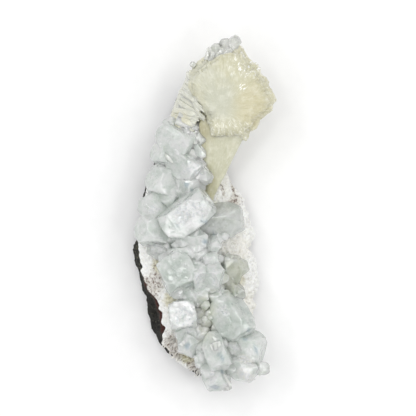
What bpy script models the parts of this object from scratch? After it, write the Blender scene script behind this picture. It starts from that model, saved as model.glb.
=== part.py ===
"""Mineral specimen: apophyllite crystals and a stilbite sheaf on a drusy crust over basalt.

The specimen lies on its basalt back. X runs across it, Y runs from its pointed foot to its
stilbite head, and Z points up out of the crystals. Lengths below are in millimetres.
"""

import bmesh
import bpy
import numpy as np
from mathutils import Euler, Vector

MM = 0.001

# Clearance kept between neighbouring pieces
GAP = 0.3

# Outline of the rock, each pair giving Y and the value there
ROCK_LEFT = [
    (-55.6, -1.9), (-54.5, -3.0), (-51.8, -6.7), (-48.4, -11.4), (-45.0, -14.4), (-41.6, -16.7),
    (-37.8, -18.3), (-33.4, -19.3), (-28.7, -20.5), (-25.3, -22.0), (-20.8, -22.7), (-17.1, -23.7),
    (-14.4, -24.6), (-11.7, -24.6), (-8.9, -23.2), (-4.9, -22.0), (5.3, -21.5), (9.8, -20.0),
    (14.2, -18.1), (18.3, -16.7), (23.4, -15.4), (27.4, -13.7), (31.2, -12.6), (35.3, -10.6),
    (38.7, -9.6), (42.1, -8.2), (44.6, -6.4),
]
CRUST_LEFT = [
    (-55.6, -0.4), (-52.5, -4.0), (-49.7, -8.0), (-45.0, -12.4), (-41.6, -12.3), (-37.8, -12.7),
    (-33.4, -13.6), (-30.7, -14.3), (-28.7, -15.4), (-25.3, -17.9), (-20.8, -19.7), (-14.4, -20.4),
    (-8.9, -21.2), (0.6, -20.6), (5.3, -20.0), (9.8, -18.4), (14.2, -16.7), (23.4, -14.1),
    (31.2, -11.6), (38.7, -8.6), (44.6, -5.4),
]
CRUST_RIGHT = [
    (-55.6, 5.4), (-53.8, 7.4), (-49.7, 12.0), (-44.6, 15.2), (-40.2, 16.4), (-36.8, 16.1),
    (-34.8, 17.3), (-29.3, 17.6), (-27.3, 17.4), (-26.3, 18.6), (-23.9, 19.3), (-20.8, 19.0),
    (-17.8, 18.3), (-13.0, 15.9), (-10.6, 16.0), (-8.3, 16.9), (-5.9, 16.6), (-3.8, 15.9),
    (-0.8, 15.6), (1.9, 15.1), (5.0, 12.9), (8.7, 10.6), (14.2, 8.4), (18.3, 6.8), (27.4, 7.6),
    (35.3, 6.2), (42.1, 3.4), (44.6, 1.2),
]
ROCK_TOP = [
    (-55.6, 8.4), (-50.0, 11.5), (-44.0, 13.0), (-30.0, 14.0), (-10.0, 14.5), (10.0, 14.0),
    (30.0, 12.5), (40.0, 10.5), (44.6, 8.5),
]
ROCK_LIFT = [(-55.6, 2.6), (-50.0, 1.0), (-42.0, 0.0), (22.0, 0.0), (34.0, 0.6), (44.6, 2.4)]
ROCK_STATIONS = 38
ROCK_ROUGHNESS = 0.5
ROCK_FLAT_BELOW = 0.6

# The crust covers these places of the rock's section, and is this thick
CRUST_FROM = 4
CRUST_TO = 12
CRUST_THICKNESS = 2.1
CRUST_EDGE = 0.7
CRUST_LUMPS = 0.55
CRUST_LUMP_SIZE = 6.5

# Fall of a crystal's end faces: how much their corner-to-corner reach shrinks along its length
PYRAMID_FALL = 0.8
CORNER_CUT = 1.93

# Apophyllite crystals: centre X, Y, Z, direction round and above the floor, turn about the
# direction in degrees, half width, half length, and how wide the end face is (2 is uncut)
CRYSTALS = [
    # foot of the specimen
    (4.4, -55.2, 20.0, -85, 25, 30, 3.7, 4.3, 1.2),
    (7.8, -57.9, 18.6, -80, 8, 10, 1.5, 2.2, 1.1),
    (1.7, -52.0, 21.5, -80, 30, 20, 2.3, 4.2, 0.9),
    (4.7, -46.4, 25.0, -74, 24, 15, 3.8, 6.2, 1.1),
    (13.4, -51.8, 21.3, -38, 22, 40, 3.8, 5.2, 1.0),
    (19.2, -52.4, 19.4, -6, 4, 5, 2.2, 3.4, 0.6),
    (10.2, -50.2, 20.4, -80, 20, 10, 2.8, 4.4, 1.0),
    (15.0, -45.0, 21.2, -14, 15, 22, 4.6, 5.6, 1.3),
    (10.6, -45.0, 24.0, 200, 60, 0, 2.2, 3.2, 1.0),
    (-0.4, -46.2, 22.8, -85, 20, 25, 1.6, 3.3, 0.8),
    (-4.4, -44.8, 21.0, 150, 50, 0, 3.3, 4.0, 1.1),
    # lower half
    (-6.9, -34.6, 23.4, 90, 80, 8, 4.5, 5.6, 1.42),
    (-5.4, -40.2, 20.6, 5, 12, 20, 2.9, 3.8, 1.2),
    (-1.6, -35.4, 21.0, 90, 30, 10, 2.5, 4.2, 1.1),
    (0.5, -31.2, 21.8, 60, 55, 10, 1.6, 2.4, 1.0),
    (0.7, -36.3, 22.2, 300, 60, 35, 1.7, 2.6, 1.2),
    (1.0, -40.0, 21.8, 200, 60, 5, 1.6, 2.6, 1.0),
    (9.8, -35.4, 22.6, -56, 18, 25, 5.0, 7.6, 1.3),
    (-4.3, -28.2, 21.6, 45, 40, 15, 2.9, 3.6, 1.2),
    (4.6, -29.0, 20.6, 100, 40, 25, 2.9, 3.8, 1.2),
    # middle
    (-8.4, -20.4, 23.0, 100, 72, 15, 5.7, 6.2, 1.4),
    (-1.4, -21.6, 25.0, 98, 42, 20, 2.9, 4.8, 1.2),
    (3.5, -21.6, 25.0, 82, 40, -14, 3.0, 4.8, 1.2),
    (-0.8, -26.4, 22.6, 268, 42, 10, 2.8, 3.6, 1.1),
    (8.9, -19.6, 18.6, 82, 18, 30, 3.3, 5.6, 1.1),
    (11.4, -18.8, 17.6, 30, 32, 10, 2.6, 3.8, 1.2),
    (10.2, -26.2, 18.2, -42, 35, 20, 2.8, 4.0, 1.1),
    (-7.4, -13.8, 23.0, 8, 14, 10, 2.9, 5.2, 1.1),
    (-1.1, -14.0, 23.2, 100, 55, 20, 2.5, 3.6, 1.2),
    (2.7, -15.0, 23.6, -80, 55, 10, 2.6, 3.5, 1.3),
    (2.3, -10.0, 23.6, -70, 38, 0, 2.2, 3.4, 0.8),
    (-15.0, -12.5, 21.4, -4, 8, 45, 2.5, 4.1, 0.7),
    (-16.4, -6.2, 20.6, 168, 30, 20, 4.5, 5.6, 1.3),
    (-3.6, -8.6, 24.4, -10, 14, 35, 3.0, 5.7, 0.9),
    (5.6, -2.4, 21.6, 8, 8, 32, 4.6, 7.9, 1.15),
    (-5.5, -0.1, 26.2, 35, 12, 14, 5.1, 8.9, 1.3),
    # upper mass
    (-16.7, 2.8, 20.0, 200, 50, 10, 4.1, 5.2, 1.3),
    (-11.2, 4.6, 20.0, 120, 60, 35, 3.2, 4.4, 1.2),
    (-17.9, 7.8, 17.6, 200, 32, 20, 2.3, 3.2, 1.1),
    (-12.6, 9.6, 20.2, 150, 36, 20, 4.5, 6.0, 1.3),
    (-5.4, 10.0, 21.4, -30, 40, 40, 3.8, 5.2, 1.4),
    (-0.8, 14.0, 23.6, -48, 22, 12, 2.4, 4.8, 0.9),
    (-6.4, 17.0, 22.4, -42, 26, 30, 4.2, 6.8, 1.2),
    (-15.9, 13.8, 18.2, 190, 35, 40, 3.0, 3.9, 1.2),
    (-13.4, 19.8, 19.0, 160, 34, 15, 3.4, 4.6, 1.3),
    (-8.6, 24.8, 21.4, -32, 24, 20, 4.6, 6.6, 1.3),
    (-10.6, 29.6, 19.2, 150, 40, 10, 2.6, 3.8, 1.1),
    (-1.5, 21.6, 24.2, -58, 18, 30, 1.7, 3.5, 0.8),
    (-1.8, 26.4, 24.6, -54, 18, 20, 1.5, 3.3, 0.8),
]

# Stilbite head: where its fan spreads from, and its outline as direction in degrees and reach
HEAD_MIDDLE = (6.4, 35.3)
HEAD_OUTLINE = [
    (5, 17.4), (8, 18.6), (13, 18.9), (20, 18.5), (26, 18.1), (31, 18.6), (37, 18.7), (43, 18.5),
    (47, 19.5), (56, 19.4), (61, 19.7), (67, 21.1), (71, 22.3), (75, 22.8), (85, 22.1), (96, 20.4),
    (108, 18.9), (119, 17.9), (129, 17.4), (137, 15.9), (151, 12.5), (171, 8.8), (203, 7.2),
    (235, 8.5), (247, 11.1), (275, 10.5), (297, 11.8), (308, 13.8), (313, 13.0), (321, 12.3),
    (330, 13.4), (344, 13.4), (353, 15.4), (359, 17.3),
]
HEAD_COLUMNS = 58
# Profile of the head from its front to its back: share of the reach, and height
HEAD_PROFILE = [
    (0.30, 31.2), (0.60, 31.2), (0.78, 30.2), (0.86, 28.9), (0.87, 27.4), (0.96, 26.4),
    (1.00, 24.8), (0.97, 23.0), (0.90, 22.5), (0.88, 20.6), (0.62, 19.2), (0.30, 18.6),
]
HEAD_TOP = 30.8
HEAD_BACK = 18.3
HEAD_BLADES = 0.3

# Stilbite neck: its axis runs from a foot in the crust up under the head, and it spreads
NECK_FOOT = (0.9, 2.0, 16.4)
NECK_LENGTH = 28.0
NECK_DIRECTION = 73.5
NECK_RISE = 15.0
NECK_HALF_WIDTHS = (0.9, 5.6)
NECK_HALF_DEPTHS = (1.9, 4.2)
NECK_BLADES = 6
NECK_GROOVE = 0.16
NECK_STATIONS = 5

# Side sheaf: foot X, Y, Z and tip X, Y, Z of each blade, and its half width
SIDE_BLADES = [
    (-5.6, 48.0, 19.0, -3.4, 43.4, 25.4, 1.2),
    (-6.2, 45.4, 18.0, -2.2, 40.6, 26.4, 1.3),
    (-7.2, 43.6, 17.0, -1.4, 38.6, 27.4, 1.4),
    (-8.2, 41.6, 16.4, -0.8, 36.0, 27.8, 1.4),
    (-9.0, 39.6, 16.0, -0.2, 33.8, 27.6, 1.5),
    (-9.8, 37.4, 15.8, -0.8, 31.8, 27.0, 1.5),
    (-10.6, 35.2, 15.6, -0.4, 32.6, 28.4, 1.4),
    (-11.4, 33.0, 15.4, -2.6, 29.4, 26.6, 1.5),
    (-12.0, 31.0, 15.4, -4.6, 27.8, 25.0, 1.5),
]
SIDE_DEPTH = 1.35
# Where a blade's point begins along it, and how wide the point ends
SIDE_POINT_FROM = 0.86
SIDE_POINT_END = 0.45
# Section of a blade for unit half width and depth
SIDE_SECTION = [
    (1, 0.6), (0.6, 1), (-0.6, 1), (-1, 0.6), (-1, -0.6), (-0.6, -1), (0.6, -1), (1, -0.6),
]

# Small crystals seated on the head's upper rim
TIP_CRYSTALS = [
    (10.3, 57.9, 25.2, 35, 22, 10, 1.8, 2.3, 1.2),
    (7.3, 56.9, 26.0, 100, 20, 25, 1.9, 3.1, 1.1),
    (4.9, 55.9, 26.6, 115, 24, 5, 1.6, 2.8, 1.0),
    (3.0, 54.6, 26.0, 130, 25, 30, 1.3, 2.6, 0.8),
]
BEAD_CENTRE = (-4.0, 50.9, 25.2)
BEAD_RADIUS = 0.75
BEAD_TURN = (140, 20, 20)
BEAD_END = 1.3


def clear_scene():
    for found in list(bpy.data.objects):
        bpy.data.objects.remove(found)


def material(name, colour, roughness):
    made = bpy.data.materials.new(name)
    made.use_nodes = True
    shader = made.node_tree.nodes["Principled BSDF"]
    shader.inputs["Base Color"].default_value = (*colour, 1.0)
    shader.inputs["Roughness"].default_value = roughness
    shader.inputs["Metallic"].default_value = 0.0
    return made


def mesh_object(name, points, faces):
    """An object whose mesh has these points in millimetres, with its normals pointing out."""
    mesh = bpy.data.meshes.new(name)
    mesh.from_pydata((np.asarray(points) * MM).tolist(), [], faces)
    shape = bmesh.new()
    shape.from_mesh(mesh)
    bmesh.ops.triangulate(shape, faces=shape.faces)
    bmesh.ops.recalc_face_normals(shape, faces=shape.faces)
    shape.to_mesh(mesh)
    shape.free()
    made = bpy.data.objects.new(name, mesh)
    bpy.context.scene.collection.objects.link(made)
    return made


def convex_object(name, points):
    """The convex body round these points, with its flat faces whole."""
    shape = bmesh.new()
    for point in points:
        shape.verts.new(Vector(point) * MM)
    bmesh.ops.remove_doubles(shape, verts=shape.verts, dist=0.01 * MM)
    hull = bmesh.ops.convex_hull(shape, input=shape.verts)
    inside = [item for item in hull["geom_interior"] if isinstance(item, bmesh.types.BMVert)]
    bmesh.ops.delete(shape, geom=inside, context="VERTS")
    bmesh.ops.dissolve_limit(shape, angle_limit=0.01, verts=shape.verts, edges=shape.edges)
    bmesh.ops.recalc_face_normals(shape, faces=shape.faces)
    mesh = bpy.data.meshes.new(name)
    shape.to_mesh(mesh)
    shape.free()
    made = bpy.data.objects.new(name, mesh)
    bpy.context.scene.collection.objects.link(made)
    return made


def as_guide(shape):
    """Marks a shape that only joins or cuts another."""
    shape.hide_render = True
    shape.display_type = "WIRE"
    return shape


def join(target, others):
    """A Boolean union of the target with every object in the list."""
    group = bpy.data.collections.new(f"{target.name} joined")
    for other in others:
        group.objects.link(as_guide(other))
    change = target.modifiers.new("Join", "BOOLEAN")
    change.operation = "UNION"
    change.operand_type = "COLLECTION"
    change.collection = group
    change.solver = "EXACT"
    return target


def cut(target, cutter):
    change = target.modifiers.new(f"Cut by {cutter.name}", "BOOLEAN")
    change.operation = "DIFFERENCE"
    change.object = as_guide(cutter)
    change.solver = "EXACT"


def apply_and_keep_largest(target):
    """Bakes the modifiers into the mesh and drops crumbs that a cut left loose."""
    graph = bpy.context.evaluated_depsgraph_get()
    baked = bpy.data.meshes.new_from_object(target.evaluated_get(graph))
    target.modifiers.clear()
    target.data = baked
    shape = bmesh.new()
    shape.from_mesh(baked)
    waiting = set(shape.verts)
    islands = []
    while waiting:
        front = [waiting.pop()]
        island = set(front)
        while front:
            here = front.pop()
            for edge in here.link_edges:
                other = edge.other_vert(here)
                if other in waiting:
                    waiting.remove(other)
                    island.add(other)
                    front.append(other)
        islands.append(island)
    islands.sort(key=len)
    for crumb in islands[:-1]:
        bmesh.ops.delete(shape, geom=list(crumb), context="VERTS")
    shape.to_mesh(baked)
    shape.free()


def waves(points, size, seed):
    """Smooth lumps between -1 and 1: a sum of sine waves about this size, in seeded directions."""
    draw = np.random.default_rng(seed)
    total = np.zeros(len(points))
    for _ in range(7):
        direction = draw.normal(size=3)
        direction /= np.linalg.norm(direction)
        length = size * draw.uniform(0.6, 1.5)
        total += np.sin(points @ direction * 2 * np.pi / length + draw.uniform(0, 2 * np.pi))
    return total / 3.5


def row_value(rows, y):
    places, values = np.array(rows).T
    return np.interp(y, places, values)


def rock_section(y):
    """The rock's outline at one place along Y, as X and Z, from its left foot over its top."""
    left = row_value(ROCK_LEFT, y)
    edge = max(row_value(CRUST_LEFT, y), left + 0.9)
    right = row_value(CRUST_RIGHT, y) - CRUST_THICKNESS
    top = row_value(ROCK_TOP, y)
    lift = row_value(ROCK_LIFT, y)
    width = right - edge
    step = min(1.0, (right - left) / 14)
    return [
        (left + 2.2 * step, lift),
        (left + 0.6 * step, lift + 2.4),
        (left, lift + 4.6),
        (left * 0.5 + edge * 0.5, top * 0.70 + lift * 0.3),
        (edge - 0.2, top - 1.0),
        (edge + 0.14 * width, top + 0.8 * step),
        (edge + 0.32 * width, top + 2.0 * step),
        (edge + 0.50 * width, top + 2.4 * step),
        (edge + 0.68 * width, top + 1.4 * step),
        (edge + 0.84 * width, top - 1.2 * step),
        (right - 1.0 * step, top - 1.0 - 3.6 * step),
        (right, top * 0.46 + lift * 0.4),
        (right - 0.4 * step, lift + 2.6),
        (right - 1.9 * step, lift + 0.5),
        (edge + 0.72 * width, lift),
        (edge + 0.52 * width, lift),
        (edge + 0.32 * width, lift),
        (edge + 0.12 * width, lift),
    ]


def rock_grid():
    """The rock's smooth surface: stations along Y, each with the points round its section."""
    stations = np.linspace(ROCK_LEFT[0][0], ROCK_LEFT[-1][0], ROCK_STATIONS)
    return np.array([[(x, y, z) for x, z in rock_section(y)] for y in stations])


def roughened(grid):
    """The same surface broken up at random, but for its flat back."""
    rough = np.random.default_rng(11).uniform(-1, 1, grid.shape) * ROCK_ROUGHNESS
    rough[grid[:, :, 2] < ROCK_FLAT_BELOW] = 0.0
    rough[[0, 1, -2, -1]] = 0.0
    return grid + rough


def outward(grid):
    """Unit normals of a grid that is closed round its second direction."""
    along = np.gradient(grid, axis=0)
    around = np.roll(grid, -1, axis=1) - np.roll(grid, 1, axis=1)
    normal = np.cross(around, along)
    normal /= np.linalg.norm(normal, axis=2, keepdims=True)
    middle = grid.mean(axis=1, keepdims=True)
    inward = np.sum(normal * (grid - middle), axis=2).mean() < 0
    return -normal if inward else normal


def tube_faces(stations, around):
    """Quads of a closed tube of stations, with its two ends closed."""
    faces = []
    for i in range(stations - 1):
        here, there = i * around, (i + 1) * around
        for j in range(around):
            after = (j + 1) % around
            faces.append((here + j, here + after, there + after, there + j))
    faces.append(tuple(range(around)))
    faces.append(tuple((stations - 1) * around + j for j in range(around)))
    return faces


def shell_faces(rows, columns):
    """Faces of a thick sheet: its inner points come first, then its outer ones."""
    count = rows * columns
    corner = [
        (i * columns + j, i * columns + j + 1, (i + 1) * columns + j + 1, (i + 1) * columns + j)
        for i in range(rows - 1)
        for j in range(columns - 1)
    ]
    faces = corner + [tuple(point + count for point in reversed(face)) for face in corner]
    rim = [j for j in range(columns)]
    rim += [i * columns + columns - 1 for i in range(1, rows)]
    rim += [(rows - 1) * columns + j for j in range(columns - 2, -1, -1)]
    rim += [i * columns for i in range(rows - 2, 0, -1)]
    faces += [
        (rim[k], rim[(k + 1) % len(rim)], rim[(k + 1) % len(rim)] + count, rim[k] + count)
        for k in range(len(rim))
    ]
    return faces


def crust_height(patch):
    """How far the crust stands off the rock: thin at its rim, lumpy within."""
    rows, columns = patch.shape[:2]
    from_rim_y = np.minimum(np.arange(rows), np.arange(rows)[::-1])[:, None]
    from_rim_x = np.minimum(np.arange(columns), np.arange(columns)[::-1])[None, :]
    inside = np.clip(np.minimum(from_rim_y, from_rim_x), 0, 1)
    lumps = waves(patch.reshape(-1, 3), CRUST_LUMP_SIZE, 5).reshape(rows, columns)
    return CRUST_EDGE + inside * (CRUST_THICKNESS - CRUST_EDGE - GAP + CRUST_LUMPS * lumps)


def crystal_reach(half_width, reach):
    """Corners of a square cut across its corners by a diamond of this reach."""
    far = min(half_width, reach)
    near = max(reach - half_width, 0.0)
    return [(a * x, b * y) for x, y in ((far, near), (near, far)) for a in (1, -1) for b in (1, -1)]


def crystal(name, values, grow=0.0):
    """A square prism whose corners are cut at both ends by a steep pyramid under a flat end face."""
    x, y, z, around, above, turn, half_width, half_length, end = values
    half_width += grow
    half_length += grow
    shoulder = CORNER_CUT * half_width
    flat = min(end, CORNER_CUT - 0.05) * half_width
    rings = [(shoulder, half_length - (shoulder - flat) / PYRAMID_FALL), (flat, half_length)]
    if flat < half_width:
        rings.append((half_width, half_length - (half_width - flat) / PYRAMID_FALL))
    turned = Euler(np.radians((turn, -above, around))).to_matrix()
    points = []
    for reach, along in rings:
        along = max(along, 0.05)
        for a, b in crystal_reach(half_width, reach):
            points += [Vector((x, y, z)) + turned @ Vector((side * along, a, b)) for side in (1, -1)]
    return convex_object(name, points)


def side_blade(name, foot, tip, half, grow=0.0):
    """A flat-sided blade from foot to tip, with a bevelled point."""
    foot, tip = Vector(foot), Vector(tip)
    length = (tip - foot).length
    along = (tip - foot).normalized()
    across = along.cross(Vector((0, 0, 1))).normalized()
    up = across.cross(along)
    points = []
    for distance, end in ((-grow, 1), (length * SIDE_POINT_FROM, 1), (length + grow, SIDE_POINT_END)):
        for a, b in SIDE_SECTION:
            sideways = across * (a * (half * end + grow))
            upward = up * (b * (SIDE_DEPTH * end + grow))
            points.append(foot + along * distance + sideways + upward)
    return convex_object(name, points)


def head_reach(angle):
    directions, reaches = np.array(HEAD_OUTLINE, float).T
    return np.interp(angle % 360, directions % 360, reaches, period=360)


def stilbite_head(name, grow=0.0):
    """Profile carried round the head's middle, following its outline, in blades of uneven height."""
    count = HEAD_COLUMNS
    angles = np.arange(count) * 360 / count
    blade = np.random.default_rng(4).uniform(-1, 1, count) * HEAD_BLADES
    points = [(*HEAD_MIDDLE, HEAD_TOP + grow)]
    for share, height in HEAD_PROFILE:
        side = 1 if height > (HEAD_TOP + HEAD_BACK) / 2 else -1
        reach = head_reach(angles) * share + grow
        x = HEAD_MIDDLE[0] + reach * np.cos(np.radians(angles))
        y = HEAD_MIDDLE[1] + reach * np.sin(np.radians(angles))
        z = height + side * grow + blade * share
        points += list(zip(x, y, z))
    points.append((*HEAD_MIDDLE, HEAD_BACK - grow))
    bottom = len(points) - 1
    last_ring = bottom - count
    faces = []
    for j in range(count):
        after = (j + 1) % count
        faces.append((0, 1 + j, 1 + after))
        for start in range(1, last_ring, count):
            below = start + count
            faces.append((start + j, below + j, below + after, start + after))
        faces.append((bottom, last_ring + after, last_ring + j))
    return mesh_object(name, points, faces)


def neck_outline():
    """The neck's section for unit half width and depth: blades side by side, grooves between."""
    across = np.linspace(-1, 1, 2 * NECK_BLADES + 1)
    ridge = np.where(np.arange(len(across)) % 2 == 1, 1.0, 1.0 - NECK_GROOVE)
    front = np.stack([across, ridge], axis=1)
    return np.concatenate([front, -front])


def stilbite_neck(name, grow=0.0):
    """The grooved section carried up the neck's axis while it spreads evenly."""
    rise, direction = np.radians(NECK_RISE), np.radians(NECK_DIRECTION)
    level = np.array([np.cos(direction), np.sin(direction), 0.0])
    along = level * np.cos(rise) + np.array([0.0, 0.0, np.sin(rise)])
    across = np.array([level[1], -level[0], 0.0])
    up = np.cross(across, along)
    side, front = neck_outline().T
    at_edge = np.where(abs(side) == 1, side, 0.0)
    points = []
    for share in np.linspace(0, 1, NECK_STATIONS):
        middle = np.array(NECK_FOOT) + along * (NECK_LENGTH * share + grow * (2 * share - 1))
        x = side * np.interp(share, (0, 1), NECK_HALF_WIDTHS) + at_edge * grow
        z = front * np.interp(share, (0, 1), NECK_HALF_DEPTHS) + np.sign(front) * 2 * grow
        points += list(middle + x[:, None] * across + z[:, None] * up)
    return mesh_object(name, points, tube_faces(NECK_STATIONS, len(side)))


def stilbite_sheaf(name, grow=0.0):
    """The head joined with its neck."""
    return join(stilbite_head(name, grow), [stilbite_neck(f"{name} neck", grow)])


def side_blades(name, grow=0.0):
    """The blades of the side sheaf, joined."""
    blades = []
    for number, values in enumerate(SIDE_BLADES):
        foot, tip, half = values[:3], values[3:6], values[6]
        blades.append(side_blade(f"{name} blade {number}", foot, tip, half, grow))
    first = blades.pop(0)
    first.name = name
    return join(first, blades)


def grown_together(name, rows):
    """The crystals of these rows joined in one solid."""
    crystals = [crystal(f"{name} {number}", values) for number, values in enumerate(rows)]
    first = crystals.pop(0)
    first.name = name
    return join(first, crystals)


def ground_pieces():
    """The rock, the crust on it, and the space that they take up together with the gap round them."""
    smooth = rock_grid()
    normals = outward(smooth)
    grid = roughened(smooth)
    closed = tube_faces(*grid.shape[:2])
    rock = mesh_object("basalt_matrix", grid.reshape(-1, 3), closed)

    covered = (slice(1, ROCK_STATIONS - 1), slice(CRUST_FROM, CRUST_TO + 1))
    patch, away = grid[covered], normals[covered]
    inner = patch + away * GAP
    outer = inner + away * crust_height(patch)[:, :, None]
    both = np.concatenate([inner.reshape(-1, 3), outer.reshape(-1, 3)])
    crust = mesh_object("white_crust", both, shell_faces(*patch.shape[:2]))

    ground = grid + normals * GAP
    ground[covered] = outer + away * GAP
    return rock, crust, mesh_object("ground cutter", ground.reshape(-1, 3), closed)


def fitted(shape, *cutters):
    """The shape with the space of its neighbours cut away."""
    for cutter in cutters:
        cut(shape, cutter)
    apply_and_keep_largest(shape)
    return shape


def build():
    clear_scene()
    rock, crust, ground_cutter = ground_pieces()
    side_cutter = side_blades("side cutter", GAP)
    stilbite_cutter = stilbite_sheaf("stilbite cutter", GAP)

    side_sheaf = fitted(side_blades("side_sheaf"), ground_cutter)
    stilbite = fitted(stilbite_sheaf("stilbite_sheaf"), ground_cutter, side_cutter)
    cluster = grown_together("apophyllite_cluster", CRYSTALS)
    cluster = fitted(cluster, ground_cutter, side_cutter, stilbite_cutter)
    tip = fitted(grown_together("tip_apophyllite", TIP_CRYSTALS), stilbite_cutter)
    bead_values = (*BEAD_CENTRE, *BEAD_TURN, BEAD_RADIUS, BEAD_RADIUS, BEAD_END)
    bead = fitted(crystal("bead_apophyllite", bead_values), stilbite_cutter)

    for made, finish in (
        (rock, material("basalt", (0.045, 0.043, 0.038), 0.85)),
        (crust, material("crust", (0.72, 0.72, 0.68), 0.75)),
        (cluster, material("apophyllite", (0.62, 0.67, 0.63), 0.2)),
        (tip, material("tip apophyllite", (0.55, 0.58, 0.56), 0.2)),
        (bead, material("bead apophyllite", (0.55, 0.58, 0.56), 0.2)),
        (stilbite, material("stilbite", (0.70, 0.66, 0.48), 0.35)),
        (side_sheaf, material("side stilbite", (0.66, 0.65, 0.56), 0.3)),
    ):
        made.data.materials.clear()
        made.data.materials.append(finish)


build()
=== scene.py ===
from itertools import product

import bpy
import numpy as np
from mathutils import Euler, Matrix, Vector


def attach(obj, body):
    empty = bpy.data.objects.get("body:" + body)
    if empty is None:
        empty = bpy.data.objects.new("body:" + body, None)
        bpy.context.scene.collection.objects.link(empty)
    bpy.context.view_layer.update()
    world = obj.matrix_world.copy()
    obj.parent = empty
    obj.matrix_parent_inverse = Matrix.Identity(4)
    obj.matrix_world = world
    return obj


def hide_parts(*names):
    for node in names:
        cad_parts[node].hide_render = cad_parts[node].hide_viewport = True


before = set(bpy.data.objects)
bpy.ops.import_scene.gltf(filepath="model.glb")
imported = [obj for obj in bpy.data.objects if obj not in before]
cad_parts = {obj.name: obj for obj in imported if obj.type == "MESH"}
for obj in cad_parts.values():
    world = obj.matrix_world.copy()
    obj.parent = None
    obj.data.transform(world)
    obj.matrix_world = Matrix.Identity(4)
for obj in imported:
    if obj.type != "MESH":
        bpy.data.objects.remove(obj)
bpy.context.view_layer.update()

# Lengths below are in millimetres, and the meshes are in metres
MM = 0.001

# the specimen's own sizes, nearly all as its solids have them

ROCK_LEFT = [
    (-55.6, -1.9), (-54.5, -3.0), (-51.8, -6.7), (-48.4, -11.4), (-45.0, -14.4), (-41.6, -16.7),
    (-37.8, -18.3), (-33.4, -19.3), (-28.7, -20.5), (-25.3, -22.0), (-20.8, -22.7), (-17.1, -23.7),
    (-14.4, -24.6), (-11.7, -24.6), (-8.9, -23.2), (-4.9, -22.0), (5.3, -21.5), (9.8, -20.0),
    (14.2, -18.1), (18.3, -16.7), (23.4, -15.4), (27.4, -13.7), (31.2, -12.6), (35.3, -10.6),
    (38.7, -9.6), (42.1, -8.2), (44.6, -6.4),
]
CRUST_LEFT = [
    (-55.6, -0.4), (-52.5, -4.0), (-49.7, -8.0), (-45.0, -12.4), (-41.6, -12.3), (-37.8, -12.7),
    (-33.4, -13.6), (-30.7, -14.3), (-28.7, -15.4), (-25.3, -17.9), (-20.8, -19.7), (-14.4, -20.4),
    (-8.9, -21.2), (0.6, -20.6), (5.3, -20.0), (9.8, -18.4), (14.2, -16.7), (23.4, -14.1),
    (31.2, -11.6), (38.7, -8.6), (44.6, -5.4),
]
CRUST_RIGHT = [
    (-55.6, 5.4), (-53.8, 7.4), (-49.7, 12.0), (-44.6, 15.2), (-40.2, 16.4), (-36.8, 16.1),
    (-34.8, 17.3), (-29.3, 17.6), (-27.3, 17.4), (-26.3, 18.6), (-23.9, 19.3), (-20.8, 19.0),
    (-17.8, 18.3), (-13.0, 15.9), (-10.6, 16.0), (-8.3, 16.9), (-5.9, 16.6), (-3.8, 15.9),
    (-0.8, 15.6), (1.9, 15.1), (5.0, 12.9), (8.7, 10.6), (14.2, 8.4), (18.3, 6.8), (27.4, 7.6),
    (35.3, 6.2), (42.1, 3.4), (44.6, 1.2),
]
ROCK_TOP = [
    (-55.6, 8.4), (-50.0, 11.5), (-44.0, 13.0), (-30.0, 14.0), (-10.0, 14.5), (10.0, 14.0),
    (30.0, 12.5), (40.0, 10.5), (44.6, 8.5),
]
ROCK_LIFT = [(-55.6, 2.6), (-50.0, 1.0), (-42.0, 0.0), (22.0, 0.0), (34.0, 0.6), (44.6, 2.4)]
ROCK_STATIONS = 38
ROCK_ROUGHNESS = 0.5
ROCK_FLAT_BELOW = 0.6
ROCK_GRID = (300, 162)
GAP = 0.3
CRUST_FROM = 4
CRUST_TO = 12
CRUST_THICKNESS = 2.1
CRUST_EDGE = 0.7
CRUST_LUMPS = 0.55
CRUST_LUMP_SIZE = 6.5
CRUST_OVER_ROCK = 1.8
CRUST_GRID = (330, 190)
CRUST_UNDER_COLUMNS = 12
# Points from the crust's edge over which its relief grows to the full height
CRUST_RIM = 8
# How far the crust's left edge is moved right, near the foot and near the head
CRUST_LEFT_SHIFTS = (-0.5, 1.0)

# Fall of a crystal's end faces along its length, and how far its corners are cut
PYRAMID_FALL = 0.8
CORNER_CUT = 1.93

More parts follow.
